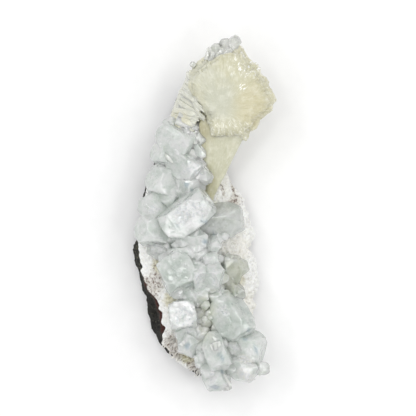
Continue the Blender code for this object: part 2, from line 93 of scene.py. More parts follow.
# Crystals: centre X, Y, Z, direction round and above the floor, turn about it in degrees,
# half width, half length, and how wide the end face is
CRYSTALS = [
    # foot of the specimen
    (4.4, -55.2, 20.0, -85, 25, 30, 3.7, 4.3, 1.2),
    (7.8, -57.9, 18.6, -80, 8, 10, 1.5, 2.2, 1.1),
    (1.7, -52.0, 21.5, -80, 30, 20, 2.3, 4.2, 0.9),
    (4.7, -46.4, 25.0, -74, 24, 15, 3.8, 6.2, 1.1),
    (13.4, -51.8, 21.3, -38, 22, 40, 3.8, 5.2, 1.0),
    (19.2, -52.4, 19.4, -6, 4, 5, 2.2, 3.4, 0.6),
    (10.2, -50.2, 20.4, -80, 20, 10, 2.8, 4.4, 1.0),
    (15.0, -45.0, 21.2, -14, 15, 22, 4.6, 5.6, 1.3),
    (10.6, -45.0, 24.0, 200, 60, 0, 2.2, 3.2, 1.0),
    (-0.4, -46.2, 22.8, -85, 20, 25, 1.6, 3.3, 0.8),
    (-4.4, -44.8, 21.0, 150, 50, 0, 3.3, 4.0, 1.1),
    # lower half
    (-6.9, -34.6, 23.4, 90, 80, 8, 4.5, 5.6, 1.42),
    (-5.4, -40.2, 20.6, 5, 12, 20, 2.9, 3.8, 1.2),
    (-1.6, -35.4, 21.0, 90, 30, 10, 2.5, 4.2, 1.1),
    (0.5, -31.2, 21.8, 60, 55, 10, 1.6, 2.4, 1.0),
    (0.7, -36.3, 22.2, 300, 60, 35, 1.7, 2.6, 1.2),
    (1.0, -40.0, 21.8, 200, 60, 5, 1.6, 2.6, 1.0),
    (9.8, -35.4, 22.6, -56, 18, 25, 5.0, 7.6, 1.3),
    (-4.3, -28.2, 21.6, 45, 40, 15, 2.9, 3.6, 1.2),
    (4.6, -29.0, 20.6, 100, 40, 25, 2.9, 3.8, 1.2),
    # middle
    (-8.4, -20.4, 23.0, 100, 72, 15, 5.7, 6.2, 1.4),
    (-1.4, -21.6, 25.0, 98, 42, 20, 2.9, 4.8, 1.2),
    (3.5, -21.6, 25.0, 82, 40, -14, 3.0, 4.8, 1.2),
    (-0.8, -26.4, 22.6, 268, 42, 10, 2.8, 3.6, 1.1),
    (8.9, -19.6, 18.6, 82, 18, 30, 3.3, 5.6, 1.1),
    (11.4, -18.8, 17.6, 30, 32, 10, 2.6, 3.8, 1.2),
    (10.2, -26.2, 18.2, -42, 35, 20, 2.8, 4.0, 1.1),
    (-7.4, -13.8, 23.0, 8, 14, 10, 2.9, 5.2, 1.1),
    (-1.1, -14.0, 23.2, 100, 55, 20, 2.5, 3.6, 1.2),
    (2.7, -15.0, 23.6, -80, 55, 10, 2.6, 3.5, 1.3),
    (2.3, -10.0, 23.6, -70, 38, 0, 2.2, 3.4, 0.8),
    (-15.0, -12.5, 21.4, -4, 8, 45, 2.5, 4.1, 0.7),
    (-16.4, -6.2, 20.6, 168, 30, 20, 4.5, 5.6, 1.3),
    (-3.6, -8.6, 24.4, -10, 14, 35, 3.0, 5.7, 0.9),
    (5.6, -2.4, 21.6, 8, 8, 32, 4.6, 7.9, 1.15),
    (-5.5, -0.1, 26.1, 35, 12, 14, 5.1, 8.9, 1.3),
    # upper mass
    (-16.0, 2.8, 20.0, 200, 50, 10, 4.1, 5.2, 1.3),
    (-11.2, 4.6, 20.0, 120, 60, 35, 3.2, 4.4, 1.2),
    (-15.4, 7.4, 17.8, 200, 32, 20, 2.3, 3.2, 1.1),
    (-12.6, 9.6, 20.2, 150, 36, 20, 4.5, 6.0, 1.3),
    (-5.4, 10.0, 21.4, -30, 40, 40, 3.8, 5.2, 1.4),
    (-0.8, 14.0, 23.6, -48, 22, 12, 2.4, 4.8, 0.9),
    (-6.4, 17.0, 22.4, -42, 26, 30, 4.2, 6.8, 1.2),
    (-13.6, 13.8, 18.6, 190, 35, 40, 3.0, 3.9, 1.2),
    (-12.4, 19.8, 19.2, 160, 34, 15, 3.4, 4.6, 1.3),
    (-8.6, 24.8, 21.4, -32, 24, 20, 4.6, 6.6, 1.3),
    (-9.8, 29.6, 19.2, 150, 40, 10, 2.6, 3.8, 1.1),
    (-1.5, 21.6, 24.2, -58, 18, 30, 1.7, 3.5, 0.8),
    (-1.8, 26.4, 24.6, -54, 18, 20, 1.5, 3.3, 0.8),
]
TIP_CRYSTALS = [
    (10.3, 57.9, 25.2, 35, 22, 10, 1.8, 2.2, 1.2),
    (7.4, 56.4, 25.2, 100, 20, 25, 1.6, 2.6, 1.1),
    (4.9, 55.2, 25.6, 115, 24, 5, 1.4, 2.4, 1.0),
    (3.0, 54.4, 25.6, 130, 25, 30, 1.0, 2.2, 0.8),
]
BEAD_CRYSTAL = (-3.5, 50.4, 25.4, 140, 20, 20, 0.85, 0.85, 1.3)

HEAD_MIDDLE = (6.4, 35.3)
HEAD_OUTLINE = [
    (5, 17.4), (8, 18.6), (13, 18.9), (20, 18.5), (26, 18.1), (31, 18.6), (37, 18.7), (43, 18.5),
    (47, 19.5), (56, 19.4), (61, 19.7), (67, 21.1), (71, 22.3), (75, 22.8), (85, 22.1), (96, 20.4),
    (108, 18.9), (119, 17.9), (129, 17.4), (137, 15.9), (151, 12.5), (171, 8.8), (203, 7.2),
    (235, 8.5), (247, 11.1), (275, 10.5), (297, 11.8), (308, 13.8), (313, 13.0), (321, 12.3),
    (330, 13.4), (344, 13.4), (353, 15.4), (359, 17.3),
]
# Profile of the head from its front to its back: share of the reach, and height
HEAD_PROFILE = [
    (0.03, 30.8), (0.30, 31.2), (0.60, 31.2), (0.78, 30.2), (0.86, 28.9), (0.87, 27.4),
    (0.96, 26.4), (1.00, 24.8), (0.97, 23.0), (0.90, 22.5), (0.88, 20.6), (0.62, 19.2),
    (0.30, 18.6), (0.03, 18.3),
]
# Layers of broken blades in the head's height, and blades round each of them
HEAD_LOWEST = 18
HEAD_LAYER_HEIGHT = 1.1
HEAD_LAYERS = 13
HEAD_BLADES = 62

NECK_FOOT = (0.9, 2.0, 16.4)
NECK_LENGTH = 28.0
NECK_DIRECTION = 73.5
NECK_RISE = 15.0
NECK_HALF_WIDTHS = (0.9, 5.6)
# Half depth of the neck at shares of its length, the last one inside the head
NECK_DEPTHS = [(0.0, 1.9), (0.6, 3.3), (1.0, 3.9), (1.2, 3.3)]
# How much more the neck spreads to the left: by a share of its half width, and by a length
NECK_SPREAD = (0.32, 3.0)

# Side sheaf: foot X, Y, Z and tip X, Y, Z of each bundle, and its half width
SIDE_BUNDLES = [
    (-5.6, 48.0, 19.0, -3.4, 43.4, 25.4, 1.2),
    (-6.2, 45.4, 18.0, -2.2, 40.6, 26.4, 1.3),
    (-7.2, 43.6, 17.0, -1.4, 38.6, 27.4, 1.4),
    (-8.2, 41.6, 16.4, -0.8, 36.0, 27.8, 1.4),
    (-9.0, 39.6, 16.0, -0.2, 33.8, 27.6, 1.5),
    (-9.8, 37.4, 15.8, -0.8, 31.8, 27.0, 1.5),
    (-10.6, 35.2, 15.6, -0.4, 32.6, 28.4, 1.4),
    (-11.4, 33.0, 15.4, -2.6, 29.4, 26.6, 1.5),
    (-12.0, 31.0, 15.4, -4.6, 27.8, 25.0, 1.5),
]
# Reach of the sheaf's body, for the distance from a bundle's foot to its tip
SIDE_REACH = 1.12
SIDE_HALF_DEPTH = 1.9

# numbers spread over space


def lattice(cells, seed):
    """A number from 0 to 1 for each whole-number place, mixed from its three coordinates."""
    mixed = cells[..., 0] * 73856093 ^ cells[..., 1] * 19349663 ^ cells[..., 2] * 83492791
    mixed = mixed ^ (seed * 2654435761)
    mixed = (mixed ^ (mixed >> 13)) * 1274126177
    mixed = (mixed ^ (mixed >> 16)) * 73244475
    return ((mixed >> 7) & 0xFFFFFF) / 0xFFFFFF


def noise(points, size, seed):
    """From -1 to 1: lattice numbers at this spacing, blended by a smooth step between places."""
    place = np.asarray(points) / size
    base = np.floor(place).astype(np.int64)
    part = place - base
    part = part * part * (3 - 2 * part)
    total = 0.0
    for corner in product((0, 1), repeat=3):
        weight = np.prod(np.where(np.array(corner) == 1, part, 1 - part), axis=-1)
        total = total + weight * lattice(base + np.array(corner), seed)
    return 2 * total - 1


def rough(points, size, seed, octaves=4, keep=0.5):
    """Octaves of noise added up, each half as large in size and keep times as strong."""
    total = 0.0
    for octave in range(octaves):
        total = total + keep**octave * noise(points, size / 2**octave, seed + octave)
    return total


GRAIN_TURNS = 16


def turns(seed):
    """Some random turns, as matrices whose rows are unit vectors at right angles."""
    draw = np.random.default_rng(seed)
    return np.array([np.linalg.qr(draw.normal(size=(3, 3)))[0] for _ in range(GRAIN_TURNS)])


def grains(points, size, seed):
    """Crystal points, 0 to 1 high: each cell holds a turned octahedron, and the highest counts."""
    place = np.asarray(points) / size
    base = np.floor(place).astype(np.int64)
    turned = turns(seed)
    best = np.full(place.shape[:-1], -1.0)
    for offset in product((-1, 0, 1), repeat=3):
        cell = base + np.array(offset)
        shift = np.stack([lattice(cell, seed + k) for k in range(3)], axis=-1)
        which = (lattice(cell, seed + 3) * len(turned)).astype(int) % len(turned)
        away = place - cell - shift
        level = sum(np.abs(np.sum(away * turned[which, axis], axis=-1)) for axis in range(3))
        best = np.maximum(best, 1.0 - level + 0.5 * lattice(cell, seed + 4))
    return np.clip(best, 0, 1)


def soft_step(value, low, high):
    """0 below low and 1 above high, with a smooth S between."""
    part = np.clip((value - low) / (high - low), 0, 1)
    return part * part * (3 - 2 * part)


def patch(points, x, y, wide, tall, turn=0.0, soft=0.4, ragged=0.3):
    """1 inside an oval seen from above, falling to 0 over its ragged edge."""
    across, along = points[..., 0] - x, points[..., 1] - y
    c, s = np.cos(np.radians(turn)), np.sin(np.radians(turn))
    away = np.hypot((across * c + along * s) / wide, (along * c - across * s) / tall)
    away = away + ragged * noise(points, 1.6, 31)
    return 1 - soft_step(away, 1 - soft, 1 + soft)


def tinted(points, base, spots):
    """One colour, with ovals of others: colour, amount, X, Y, half wide, half tall, softness."""
    tones = np.tile(base, (len(points), 1))
    for colour, amount, x, y, wide, tall, soft in spots:
        tones = blend(tones, colour, amount * patch(points, x, y, wide, tall, soft=soft))
    return tones


def row_value(rows, y):
    """The value of a table's second column where its first column is y."""
    places, values = np.array(rows).T
    return np.interp(y, places, values)


# meshes from grids


def grid_normals(grid):
    """Unit normals of a grid closed round its columns, pointing away from each ring's middle."""
    along = np.gradient(grid, axis=0)
    around = np.roll(grid, -1, axis=1) - np.roll(grid, 1, axis=1)
    normal = np.cross(around, along)
    normal /= np.linalg.norm(normal, axis=2, keepdims=True) + 1e-12
    out = grid - grid.mean(axis=1, keepdims=True)
    return -normal if np.sum(normal * out, axis=2).mean() < 0 else normal


def smoothed(grid):
    """Each point moved to the middle of itself and its neighbours, first round, then along."""
    grid = (np.roll(grid, 1, axis=1) + 2 * grid + np.roll(grid, -1, axis=1)) / 4
    inner = (grid[:-2] + 2 * grid[1:-1] + grid[2:]) / 4
    return np.concatenate([grid[:1], inner, grid[-1:]])


def from_ends(count):
    """How many steps each of count places in a row is from its nearer end."""
    return np.minimum(np.arange(count), np.arange(count)[::-1])


def squared_oval(columns, side_power, front_power):
    """Side and front of a closed section, from -1 to 1: the lower the powers, the squarer it is."""
    turn = np.arange(columns) * 2 * np.pi / columns
    side, front = np.cos(turn), np.sin(turn)
    return np.sign(side) * np.abs(side) ** side_power, np.sign(front) * np.abs(front) ** front_power


def tube_mesh(grids):
    """Points and faces of closed tubes: quads between rings, a fan to the middle of each end."""
    points, faces, start = [], [], 0
    for grid in grids:
        rings, around = grid.shape[:2]
        place = np.arange(rings * around).reshape(rings, around) + start
        after = np.roll(place, -1, axis=1)
        ends = np.array([[start + rings * around], [start + rings * around + 1]])
        first = np.stack([after[0], place[0], np.broadcast_to(ends[0], around)], axis=1)
        last = np.stack([place[-1], after[-1], np.broadcast_to(ends[1], around)], axis=1)
        quads = np.stack([place[:-1], after[:-1], after[1:], place[1:]], axis=-1).reshape(-1, 4)
        own = np.concatenate([grid.reshape(-1, 3), [grid[0].mean(axis=0)], [grid[-1].mean(axis=0)]])
        a, b, c, d = ((own - own.mean(axis=0))[quads[:, k] - start] for k in range(4))
        if np.sum(a * np.cross(b, c)) + np.sum(a * np.cross(c, d)) < 0:
            quads, first, last = quads[:, ::-1], first[:, ::-1], last[:, ::-1]
        points.append(own)
        faces += quads.tolist() + first.tolist() + last.tolist()
        start += len(own)
    return np.concatenate(points), faces


def piece_from(name, grids, sharp=30):
    """An object of closed tubes, smooth but for edges sharper than this many degrees."""
    points, faces = tube_mesh(grids)
    mesh = bpy.data.meshes.new(name)
    mesh.from_pydata((points * MM).tolist(), [], faces)
    mesh.shade_smooth()
    mesh.set_sharp_from_angle(angle=np.radians(sharp))
    made = bpy.data.objects.new(name, mesh)
    bpy.context.scene.collection.objects.link(made)
    return made


# Edges of a union sharper than this many degrees stay sharp
JOINED_SHARP = 25


def joined(name, grids):
    """One closed surface round all of these tubes: a Boolean union of them, applied."""
    first = piece_from(name, grids[:1])
    group = bpy.data.collections.new(f"{name} parts")
    others = [piece_from(f"{name} part {number}", [grid]) for number, grid in enumerate(grids[1:])]
    for other in others:
        group.objects.link(other)
    change = first.modifiers.new("Join", "BOOLEAN")
    change.operation = "UNION"
    change.operand_type = "COLLECTION"
    change.collection = group
    change.solver = "MANIFOLD"
    graph = bpy.context.evaluated_depsgraph_get()
    mesh = bpy.data.meshes.new_from_object(first.evaluated_get(graph))
    first.modifiers.clear()
    first.data = mesh
    mesh.shade_smooth()
    mesh.set_sharp_from_angle(angle=np.radians(JOINED_SHARP))
    for other in others:
        bpy.data.objects.remove(other)
    bpy.data.collections.remove(group)
    return first


def mesh_points(piece):
    """The mesh's points in millimetres."""
    points = np.empty(len(piece.data.vertices) * 3, np.float32)
    piece.data.vertices.foreach_get("co", points)
    return points.reshape(-1, 3).astype(float) / MM


def paint(piece, name, colours):
    """Stores a colour for each point, as an attribute that the material reads, alpha too if given."""
    layer = piece.data.attributes.new(name, "FLOAT_COLOR", "POINT")
    full = np.ones((len(colours), 4), np.float32)
    full[:, :colours.shape[1]] = colours
    layer.data.foreach_set("color", full.reshape(-1))


def mark(piece, name, values):
    """Stores a number for each point."""
    layer = piece.data.attributes.new(name, "FLOAT", "POINT")
    layer.data.foreach_set("value", np.asarray(values, np.float32))


def convexity(piece):
    """How far each point stands out past the middle of its neighbours, for their distance."""
    mesh = piece.data
    points = mesh_points(piece)
    ends = np.empty(len(mesh.edges) * 2, np.int32)
    mesh.edges.foreach_get("vertices", ends)
    first, second = ends.reshape(-1, 2).T
    normals = np.empty(len(points) * 3, np.float32)
    mesh.vertex_normals.foreach_get("vector", normals)
    normals = normals.reshape(-1, 3)

    def gathered(values):
        there = np.bincount(first, values[second], len(points))
        return there + np.bincount(second, values[first], len(points))

    count = np.maximum(gathered(np.ones(len(points))), 1)
    middle = np.stack([gathered(points[:, k]) for k in range(3)], axis=1) / count[:, None]
    length = np.linalg.norm(points[first] - points[second], axis=1)
    spacing = np.bincount(first, length, len(points)) + np.bincount(second, length, len(points))
    value = np.sum((points - middle) * normals, axis=1) / (spacing / count + 1e-9)
    for _ in range(2):
        value = (value + gathered(value) / count) / 2
    return value


def blend(low, high, share):
    """From one colour to the other by the share at each point."""
    share = np.asarray(share)[:, None]
    return np.asarray(low) * (1 - share) + np.asarray(high) * share


def set_piece(piece, material, slot, *nodes):
    """Gives a piece its material, and its place in the specimen."""
    piece.data.materials.clear()
    piece.data.materials.append(material)
    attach(piece, "root")
    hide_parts(*nodes)


# finishes

WHITE = (1.0, 1.0, 1.0)


class Recipe:
    """A material's nodes, with a short call for each kind that these finishes use."""

    def __init__(self, name):
        self.material = bpy.data.materials.new(name)
        self.material.use_nodes = True
        self.tree = self.material.node_tree
        self.shader = self.tree.nodes["Principled BSDF"]
        self.place = self.add("ShaderNodeTexCoord").outputs["Object"]

    def add(self, kind, inputs=(), **settings):
        node = self.tree.nodes.new(kind)
        for key, value in settings.items():
            setattr(node, key, value)
        for key, value in dict(inputs).items():
            self.put(node.inputs[key], value)
        return node

    def put(self, socket, value):
        if isinstance(value, bpy.types.NodeSocket):
            self.tree.links.new(value, socket)
        else:
            socket.default_value = value

    def set(self, **values):
        for key, value in values.items():
            self.put(self.shader.inputs[key.replace("_", " ")], value)

    def vector(self, operation, *values):
        inputs = dict(enumerate(values))
        return self.add("ShaderNodeVectorMath", inputs, operation=operation).outputs[0]

    def combined(self, *values):
        return self.add("ShaderNodeCombineXYZ", dict(enumerate(values))).outputs[0]

    def moved(self, centre=(0, 0, 0), turn=0.0, stretch=(1, 1, 1)):
        """Object coordinates about a centre in millimetres, turned on Z and then stretched."""
        away = self.vector("SUBTRACT", self.place, Vector(centre) * MM)
        turned = self.add("ShaderNodeVectorRotate", {"Vector": away, "Angle": np.radians(-turn)},
                          rotation_type="Z_AXIS").outputs[0]
        return self.vector("MULTIPLY", turned, stretch)

    def noise(self, size, place=None, detail=4.0, harsh=0.55):
        inputs = {"Vector": place or self.place, "Scale": 1 / (size * MM), "Detail": detail,
                  "Roughness": harsh}
        return self.add("ShaderNodeTexNoise", inputs).outputs["Fac"]

    def cells(self, size, place=None, distance="EUCLIDEAN"):
        inputs = {"Vector": place or self.place, "Scale": 1 / (size * MM)}
        return self.add("ShaderNodeTexVoronoi", inputs, distance=distance).outputs

    def between(self, value, low, high, smooth=True):
        """0 where the value is under low, 1 where it is over high."""
        kind = "SMOOTHSTEP" if smooth else "LINEAR"
        inputs = {"Value": value, "From Min": low, "From Max": high}
        return self.add("ShaderNodeMapRange", inputs, interpolation_type=kind).outputs[0]

    def math(self, operation, *values):
        return self.add("ShaderNodeMath", dict(enumerate(values)), operation=operation).outputs[0]

    def times(self, a, b):
        return self.math("MULTIPLY", a, b)

    def mix(self, share, a, b, mode="MIX"):
        node = self.add("ShaderNodeMix", data_type="RGBA", blend_type=mode)
        for socket, value in ((node.inputs[0], share), (node.inputs[6], a), (node.inputs[7], b)):
            if isinstance(value, tuple) and len(value) == 3:
                value = (*value, 1.0)
            self.put(socket, value)
        return node.outputs[2]

    def over(self, colour, tint, share, amount):
        """The colour with a tint over it, by a share of an amount."""
        return self.mix(self.times(share, amount), colour, tint)

    def stored(self, name, output="Color"):
        return self.add("ShaderNodeAttribute", attribute_name=name).outputs[output]

    def bump(self, height, depth, normal=None):
        inputs = {"Height": height, "Distance": depth * MM}
        if normal is not None:
            inputs["Normal"] = normal
        return self.add("ShaderNodeBump", inputs).outputs[0]

    def faceted(self, colour, tilt, normal):
        """The normal tipped by a random amount in each cell, so that each facet has its own glint."""
        away = self.vector("SUBTRACT", colour, (0.5, 0.5, 0.5))
        push = self.add("ShaderNodeVectorMath", {0: away, "Scale": tilt}, operation="SCALE").outputs[0]
        return self.vector("NORMALIZE", self.vector("ADD", normal, push))


def basalt_finish():
    """Dark fine-grained rock: grey-brown grains, pale specks, and the painted rim and mottling."""
    made = Recipe("basalt")
    grain = made.noise(1.1, detail=6.0, harsh=0.7)
    colour = made.mix(made.between(grain, 0.35, 0.65), (0.005, 0.005, 0.004), (0.024, 0.023, 0.019))
    pale = made.between(made.noise(0.7, detail=2.0), 0.60, 0.70)
    colour = made.mix(pale, colour, (0.085, 0.082, 0.058))
    colour = made.mix(made.stored("tone", "Alpha"), colour, made.stored("tone"))
    made.set(Base_Color=colour, Roughness=0.82, Specular_IOR_Level=0.3)
    height = made.math("ADD", made.noise(0.5, detail=8.0, harsh=0.75), made.cells(0.55)["Distance"])
    made.set(Normal=made.bump(height, 0.25))
    return made.material


def crust_finish():
    """White druse: each tiny crystal has its own tint and tilt, over the painted stains."""
    made = Recipe("white crust")
    facets = made.cells(0.55)["Color"]
    tint = made.between(facets, 0.0, 1.0, smooth=False)
    cloud = made.noise(2.4, detail=5.0)
    colour = made.mix(tint, (0.83, 0.845, 0.82), (0.98, 0.98, 0.97))
    shaded = made.mix(0.12, colour, (0.62, 0.58, 0.50))
    colour = made.mix(made.between(cloud, 0.3, 0.7), shaded, colour)
    colour = made.mix(1.0, colour, made.stored("tone"), "MULTIPLY")
    specks = made.between(made.noise(0.9, detail=3.0, harsh=0.7), 0.51, 0.59)
    colour = made.over(colour, (0.22, 0.17, 0.14), specks, made.stored("stain", "Fac"))
    made.set(Base_Color=colour, Roughness=0.38)
    made.set(Subsurface_Weight=0.35, Subsurface_Radius=(1.0, 1.0, 0.9), Subsurface_Scale=0.6 * MM)
    made.set(Normal=made.faceted(facets, 0.4, made.bump(made.noise(0.5, detail=3.0), 0.05)))
    return made.material


def crystal_finish(name, clear, grey, white, spread):
    """Glassy crystal: part plainly clear, part milky, with veils and wisps, blocks of painted reflection
    from facets inside, painted glints and blue-grey painted reflection specks where it sparkles, painted
    highlight on its edges, and with growth terraces and tipped facets that glint. Spread is how far light
    scatters inside."""
    made = Recipe(name)
    veil = made.between(made.noise(3.2, detail=6.0, harsh=0.62), 0.38, 0.62)
    colour = made.mix(veil, grey, white)
    cross = made.math("ABSOLUTE", made.math("SUBTRACT", made.noise(2.4, detail=4.0), 0.5))
    wisp = made.math("SUBTRACT", 1.0, made.between(cross, 0.006, 0.03))
    colour = made.over(colour, WHITE, wisp, 0.5)
    # Lighter and darker blocks: painted reflections of facets inside the crystal
    reflection_blocks = made.cells(2.6, made.moved(turn=35.0, stretch=(1.0, 1.5, 0.5)), "CHEBYCHEV")
    painted_reflection = made.between(reflection_blocks["Color"], 0.2, 0.9)
    colour = made.mix(0.13, colour, made.mix(painted_reflection, (0.45, 0.50, 0.46), WHITE))
    colour = made.mix(1.0, colour, made.stored("tone"), "MULTIPLY")
    sparkle = made.stored("sparkle", "Fac")
    # White flecks: painted glints where the sparkle is high
    painted_glints = made.between(made.noise(0.9, detail=4.0, harsh=0.7), 0.42, 0.50)
    colour = made.over(colour, WHITE, painted_glints, sparkle)
    facets = made.cells(0.6)["Color"]
    # Blue-grey cells among the glints: painted reflection specks
    reflection_specks = made.times(made.between(facets, 0.60, 0.66), sparkle)
    colour = made.over(colour, (0.58, 0.64, 0.69), reflection_specks, 0.42)
    # Painted highlight on the convex edges, from the edge attribute
    colour = made.mix(made.stored("edge", "Fac"), colour, WHITE)
    frost = made.add("ShaderNodeMapRange", {
        "Value": made.noise(1.2, detail=5.0), "From Min": 0.3, "From Max": 0.7,
        "To Min": 0.03, "To Max": 0.13}).outputs[0]
    made.set(Base_Color=colour, Roughness=frost, Specular_IOR_Level=1.0)
    made.set(IOR=1.535, Transmission_Weight=clear)
    made.set(Subsurface_Weight=0.9, Subsurface_Radius=(1.0, 1.0, 1.0), Subsurface_Scale=spread * MM)
    level = made.times(made.noise(2.2, detail=2.0), 11.0)
    part = made.math("FRACT", level)
    terrace = made.math("ADD", made.math("SUBTRACT", level, part), made.between(part, 0.0, 0.25))
    normal = made.bump(terrace, 0.006, made.bump(made.noise(1.6, detail=2.0), 0.006))
    stray = made.between(made.cells(1.1, made.moved(turn=20.0))["Color"], 0.62, 0.66)
    tilt = made.math("ADD", made.math("MULTIPLY_ADD", sparkle, 0.24, 0.015), made.times(stray, 0.65))
    made.set(Normal=made.faceted(facets, tilt, normal))
    absorb = made.add("ShaderNodeVolumeAbsorption", {
        "Color": (0.82, 0.90, 0.84, 1.0), "Density": 18.0})
    made.tree.links.new(absorb.outputs[0], made.tree.nodes["Material Output"].inputs["Volume"])
    return made.material


def stilbite_finish(name, centre, lines, sheen, deep=2.0):
    """Waxy, pearly sheaf: fine lines that fan out from a centre, over the painted cream tones, with white
    flecks and dashes of painted glint where it sparkles. Deep is how far light scatters inside."""
    made = Recipe(name)
    parts = made.add("ShaderNodeSeparateXYZ", {0: made.moved(centre)}).outputs
    round_by = made.times(made.math("ARCTAN2", parts[1], parts[0]), lines * MM)
    level = made.combined(parts[0], parts[1], 0.0)
    reach = made.add("ShaderNodeVectorMath", {0: level}, operation="LENGTH").outputs["Value"]
    high = made.times(parts[2], 0.5)
    fan = made.combined(round_by, made.times(reach, 0.12), high)
    fine = made.noise(0.30, fan, detail=3.0, harsh=0.5)
    broad = made.noise(1.6, fan, detail=2.0)
    cloud = made.noise(3.0, detail=4.0)
    colour = made.over(made.stored("tone"), (1.0, 1.0, 0.93), made.between(fine, 0.4, 0.7), 0.09)
    colour = made.over(colour, (0.50, 0.47, 0.28), made.between(broad, 0.55, 0.3), 0.05)
    colour = made.over(colour, (0.88, 0.87, 0.78), made.between(cloud, 0.45, 0.7), 0.25)
    sparkle = made.stored("sparkle", "Fac")
    # White flecks: painted glints where the sparkle is high
    painted_glints = made.between(made.noise(0.7, detail=4.0, harsh=0.7), 0.55, 0.64)
    colour = made.over(colour, (0.97, 0.97, 0.93), painted_glints, sparkle)
    # Short white dashes along the fan: painted glints
    glint_dashes = made.noise(0.75, made.combined(round_by, made.times(reach, 0.35), high), detail=1.0)
    colour = made.over(colour, (1.0, 1.0, 0.97), made.between(glint_dashes, 0.60, 0.65), sparkle)
    made.set(Base_Color=colour, Roughness=sheen)
    made.set(Subsurface_Weight=0.85, Subsurface_Radius=(1.0, 0.98, 0.92), Subsurface_Scale=deep * MM)
    lined = made.math("ADD", made.times(fine, 0.5), broad)
    normal = made.bump(lined, 0.02, made.bump(made.noise(0.8, detail=3.0), 0.02))
    tilt = made.math("MULTIPLY_ADD", sparkle, 0.3, 0.03)
    made.set(Normal=made.faceted(made.cells(0.7)["Color"], tilt, normal))
    return made.material


def floor_finish():
    """Matt white card."""
    made = Recipe("white card")
    fibre = made.noise(4.0, detail=6.0)
    made.set(Base_Color=made.mix(fibre, (0.90, 0.90, 0.90), (0.94, 0.94, 0.94)), Roughness=0.9)
    return made.material


# the rock and its crust


def waves(points, size, seed):
    """Smooth lumps: a sum of sine waves of about this size, in seeded directions."""
    draw = np.random.default_rng(seed)
    total = np.zeros(len(points))
    for _ in range(7):
        direction = draw.normal(size=3)
        direction /= np.linalg.norm(direction)
        length = size * draw.uniform(0.6, 1.5)
        total += np.sin(points @ direction * 2 * np.pi / length + draw.uniform(0, 2 * np.pi))
    return total / 3.5


def rock_grid():
    """Stations along Y, each a section of 18 points: the flat back, the left side, the top, the right."""
    y = np.linspace(ROCK_LEFT[0][0], ROCK_LEFT[-1][0], ROCK_STATIONS)
    left = row_value(ROCK_LEFT, y)
    edge = np.maximum(row_value(CRUST_LEFT, y), left + 0.9)
    right = row_value(CRUST_RIGHT, y) - CRUST_THICKNESS
    top = row_value(ROCK_TOP, y)
    lift = row_value(ROCK_LIFT, y)
    width = right - edge
    step = np.minimum(1.0, (right - left) / 14)
    section = [
        (left + 2.2 * step, lift),
        (left + 0.6 * step, lift + 2.4),
        (left, lift + 4.6),
        (left * 0.5 + edge * 0.5, top * 0.70 + lift * 0.3),
        (edge - 0.2, top - 1.0),
        (edge + 0.14 * width, top + 0.8 * step),
        (edge + 0.32 * width, top + 2.0 * step),
        (edge + 0.50 * width, top + 2.4 * step),
        (edge + 0.68 * width, top + 1.4 * step),
        (edge + 0.84 * width, top - 1.2 * step),
        (right - 1.0 * step, top - 1.0 - 3.6 * step),
        (right, top * 0.46 + lift * 0.4),
        (right - 0.4 * step, lift + 2.6),
        (right - 1.9 * step, lift + 0.5),
        (edge + 0.72 * width, lift),
        (edge + 0.52 * width, lift),
        (edge + 0.32 * width, lift),
        (edge + 0.12 * width, lift),
    ]
    return np.array([[x, y, z] for x, z in section]).transpose(2, 0, 1)


def finer(grid, rows, columns, closed=False):
    """The grid with more rows and columns, straight between its own points."""
    if closed:
        grid = np.concatenate([grid, grid[:, :1]], axis=1)
    at_row = np.linspace(0, grid.shape[0] - 1, rows)
    low = np.minimum(at_row.astype(int), grid.shape[0] - 2)
    part = (at_row - low)[:, None, None]
    grid = grid[low] * (1 - part) + grid[low + 1] * part
    at_column = np.linspace(0, grid.shape[1] - 1, columns + 1 if closed else columns)
    low = np.minimum(at_column.astype(int), grid.shape[1] - 2)
    part = (at_column - low)[None, :, None]
    grid = grid[:, low] * (1 - part) + grid[:, low + 1] * part
    return grid[:, :-1] if closed else grid


def crust_edge_distance(points):
    """How far each point lies from the crust's left edge, seen from above."""
    return points[:, 0] - row_value(CRUST_LEFT, points[:, 1])


def make_rock(coarse):
    """The broken rock: its sections made finer, with ledges and pits pushed in from the surface."""
    grid = finer(coarse, *ROCK_GRID, closed=True)
    normal = grid_normals(grid)
    flat = soft_step(grid[..., 2], 0.05, 1.2)[..., None]
    ledges = noise(grid * (1.0, 0.7, 2.2), 5.0, 3)
    ledges = np.round(ledges * 3) / 3 * 0.45
    pits = -0.5 * soft_step(noise(grid, 1.7, 9), 0.45, 0.75)
    relief = ledges + pits + 0.28 * rough(grid, 1.8, 12, octaves=4, keep=0.6) - 0.25
    grid = grid + normal * relief[..., None] * flat
    grid[..., 2] = np.maximum(grid[..., 2], 0.0)
    piece = piece_from("basalt_rock", [grid], sharp=40)
    points = mesh_points(piece)
    tones = np.zeros((len(points), 4))
    away = crust_edge_distance(points) + 0.8 * noise(points, 1.5, 21)
    rim = soft_step(away, -2.6, -1.6) * soft_step(points[:, 2], 7.0, 10.0)
    red = rim * soft_step(-points[:, 1], 17.0, 24.0)
    tones[:, :3] = blend((0.17, 0.165, 0.145), (0.085, 0.022, 0.016), red)
    strength = red * (0.55 + 0.35 * noise(points, 1.1, 22))
    upper = soft_step(points[:, 2] + 3.0 * noise(points, 3.0, 25), 3.0, 11.0)
    olive = patch(points, -22.4, -15.5, 2.6, 7.0, soft=0.9)
    olive = olive * soft_step(noise(points, 0.5, 23), 0.1, 0.6) * upper
    tones[:, :3] = blend(tones[:, :3], (0.15, 0.142, 0.045), olive)
    grey = patch(points, -18.5, 10.0, 4.5, 9.0) + patch(points, -9.5, 36.0, 4.5, 9.0)
    grey = np.clip(grey, 0, 1) * soft_step(noise(points, 0.5, 24), -0.1, 0.6) * upper
    tones[:, 3] = np.clip(strength + olive + 0.5 * grey, 0, 1)
    paint(piece, "tone", tones)
    set_piece(piece, basalt_finish(), "basalt", "basalt_matrix")
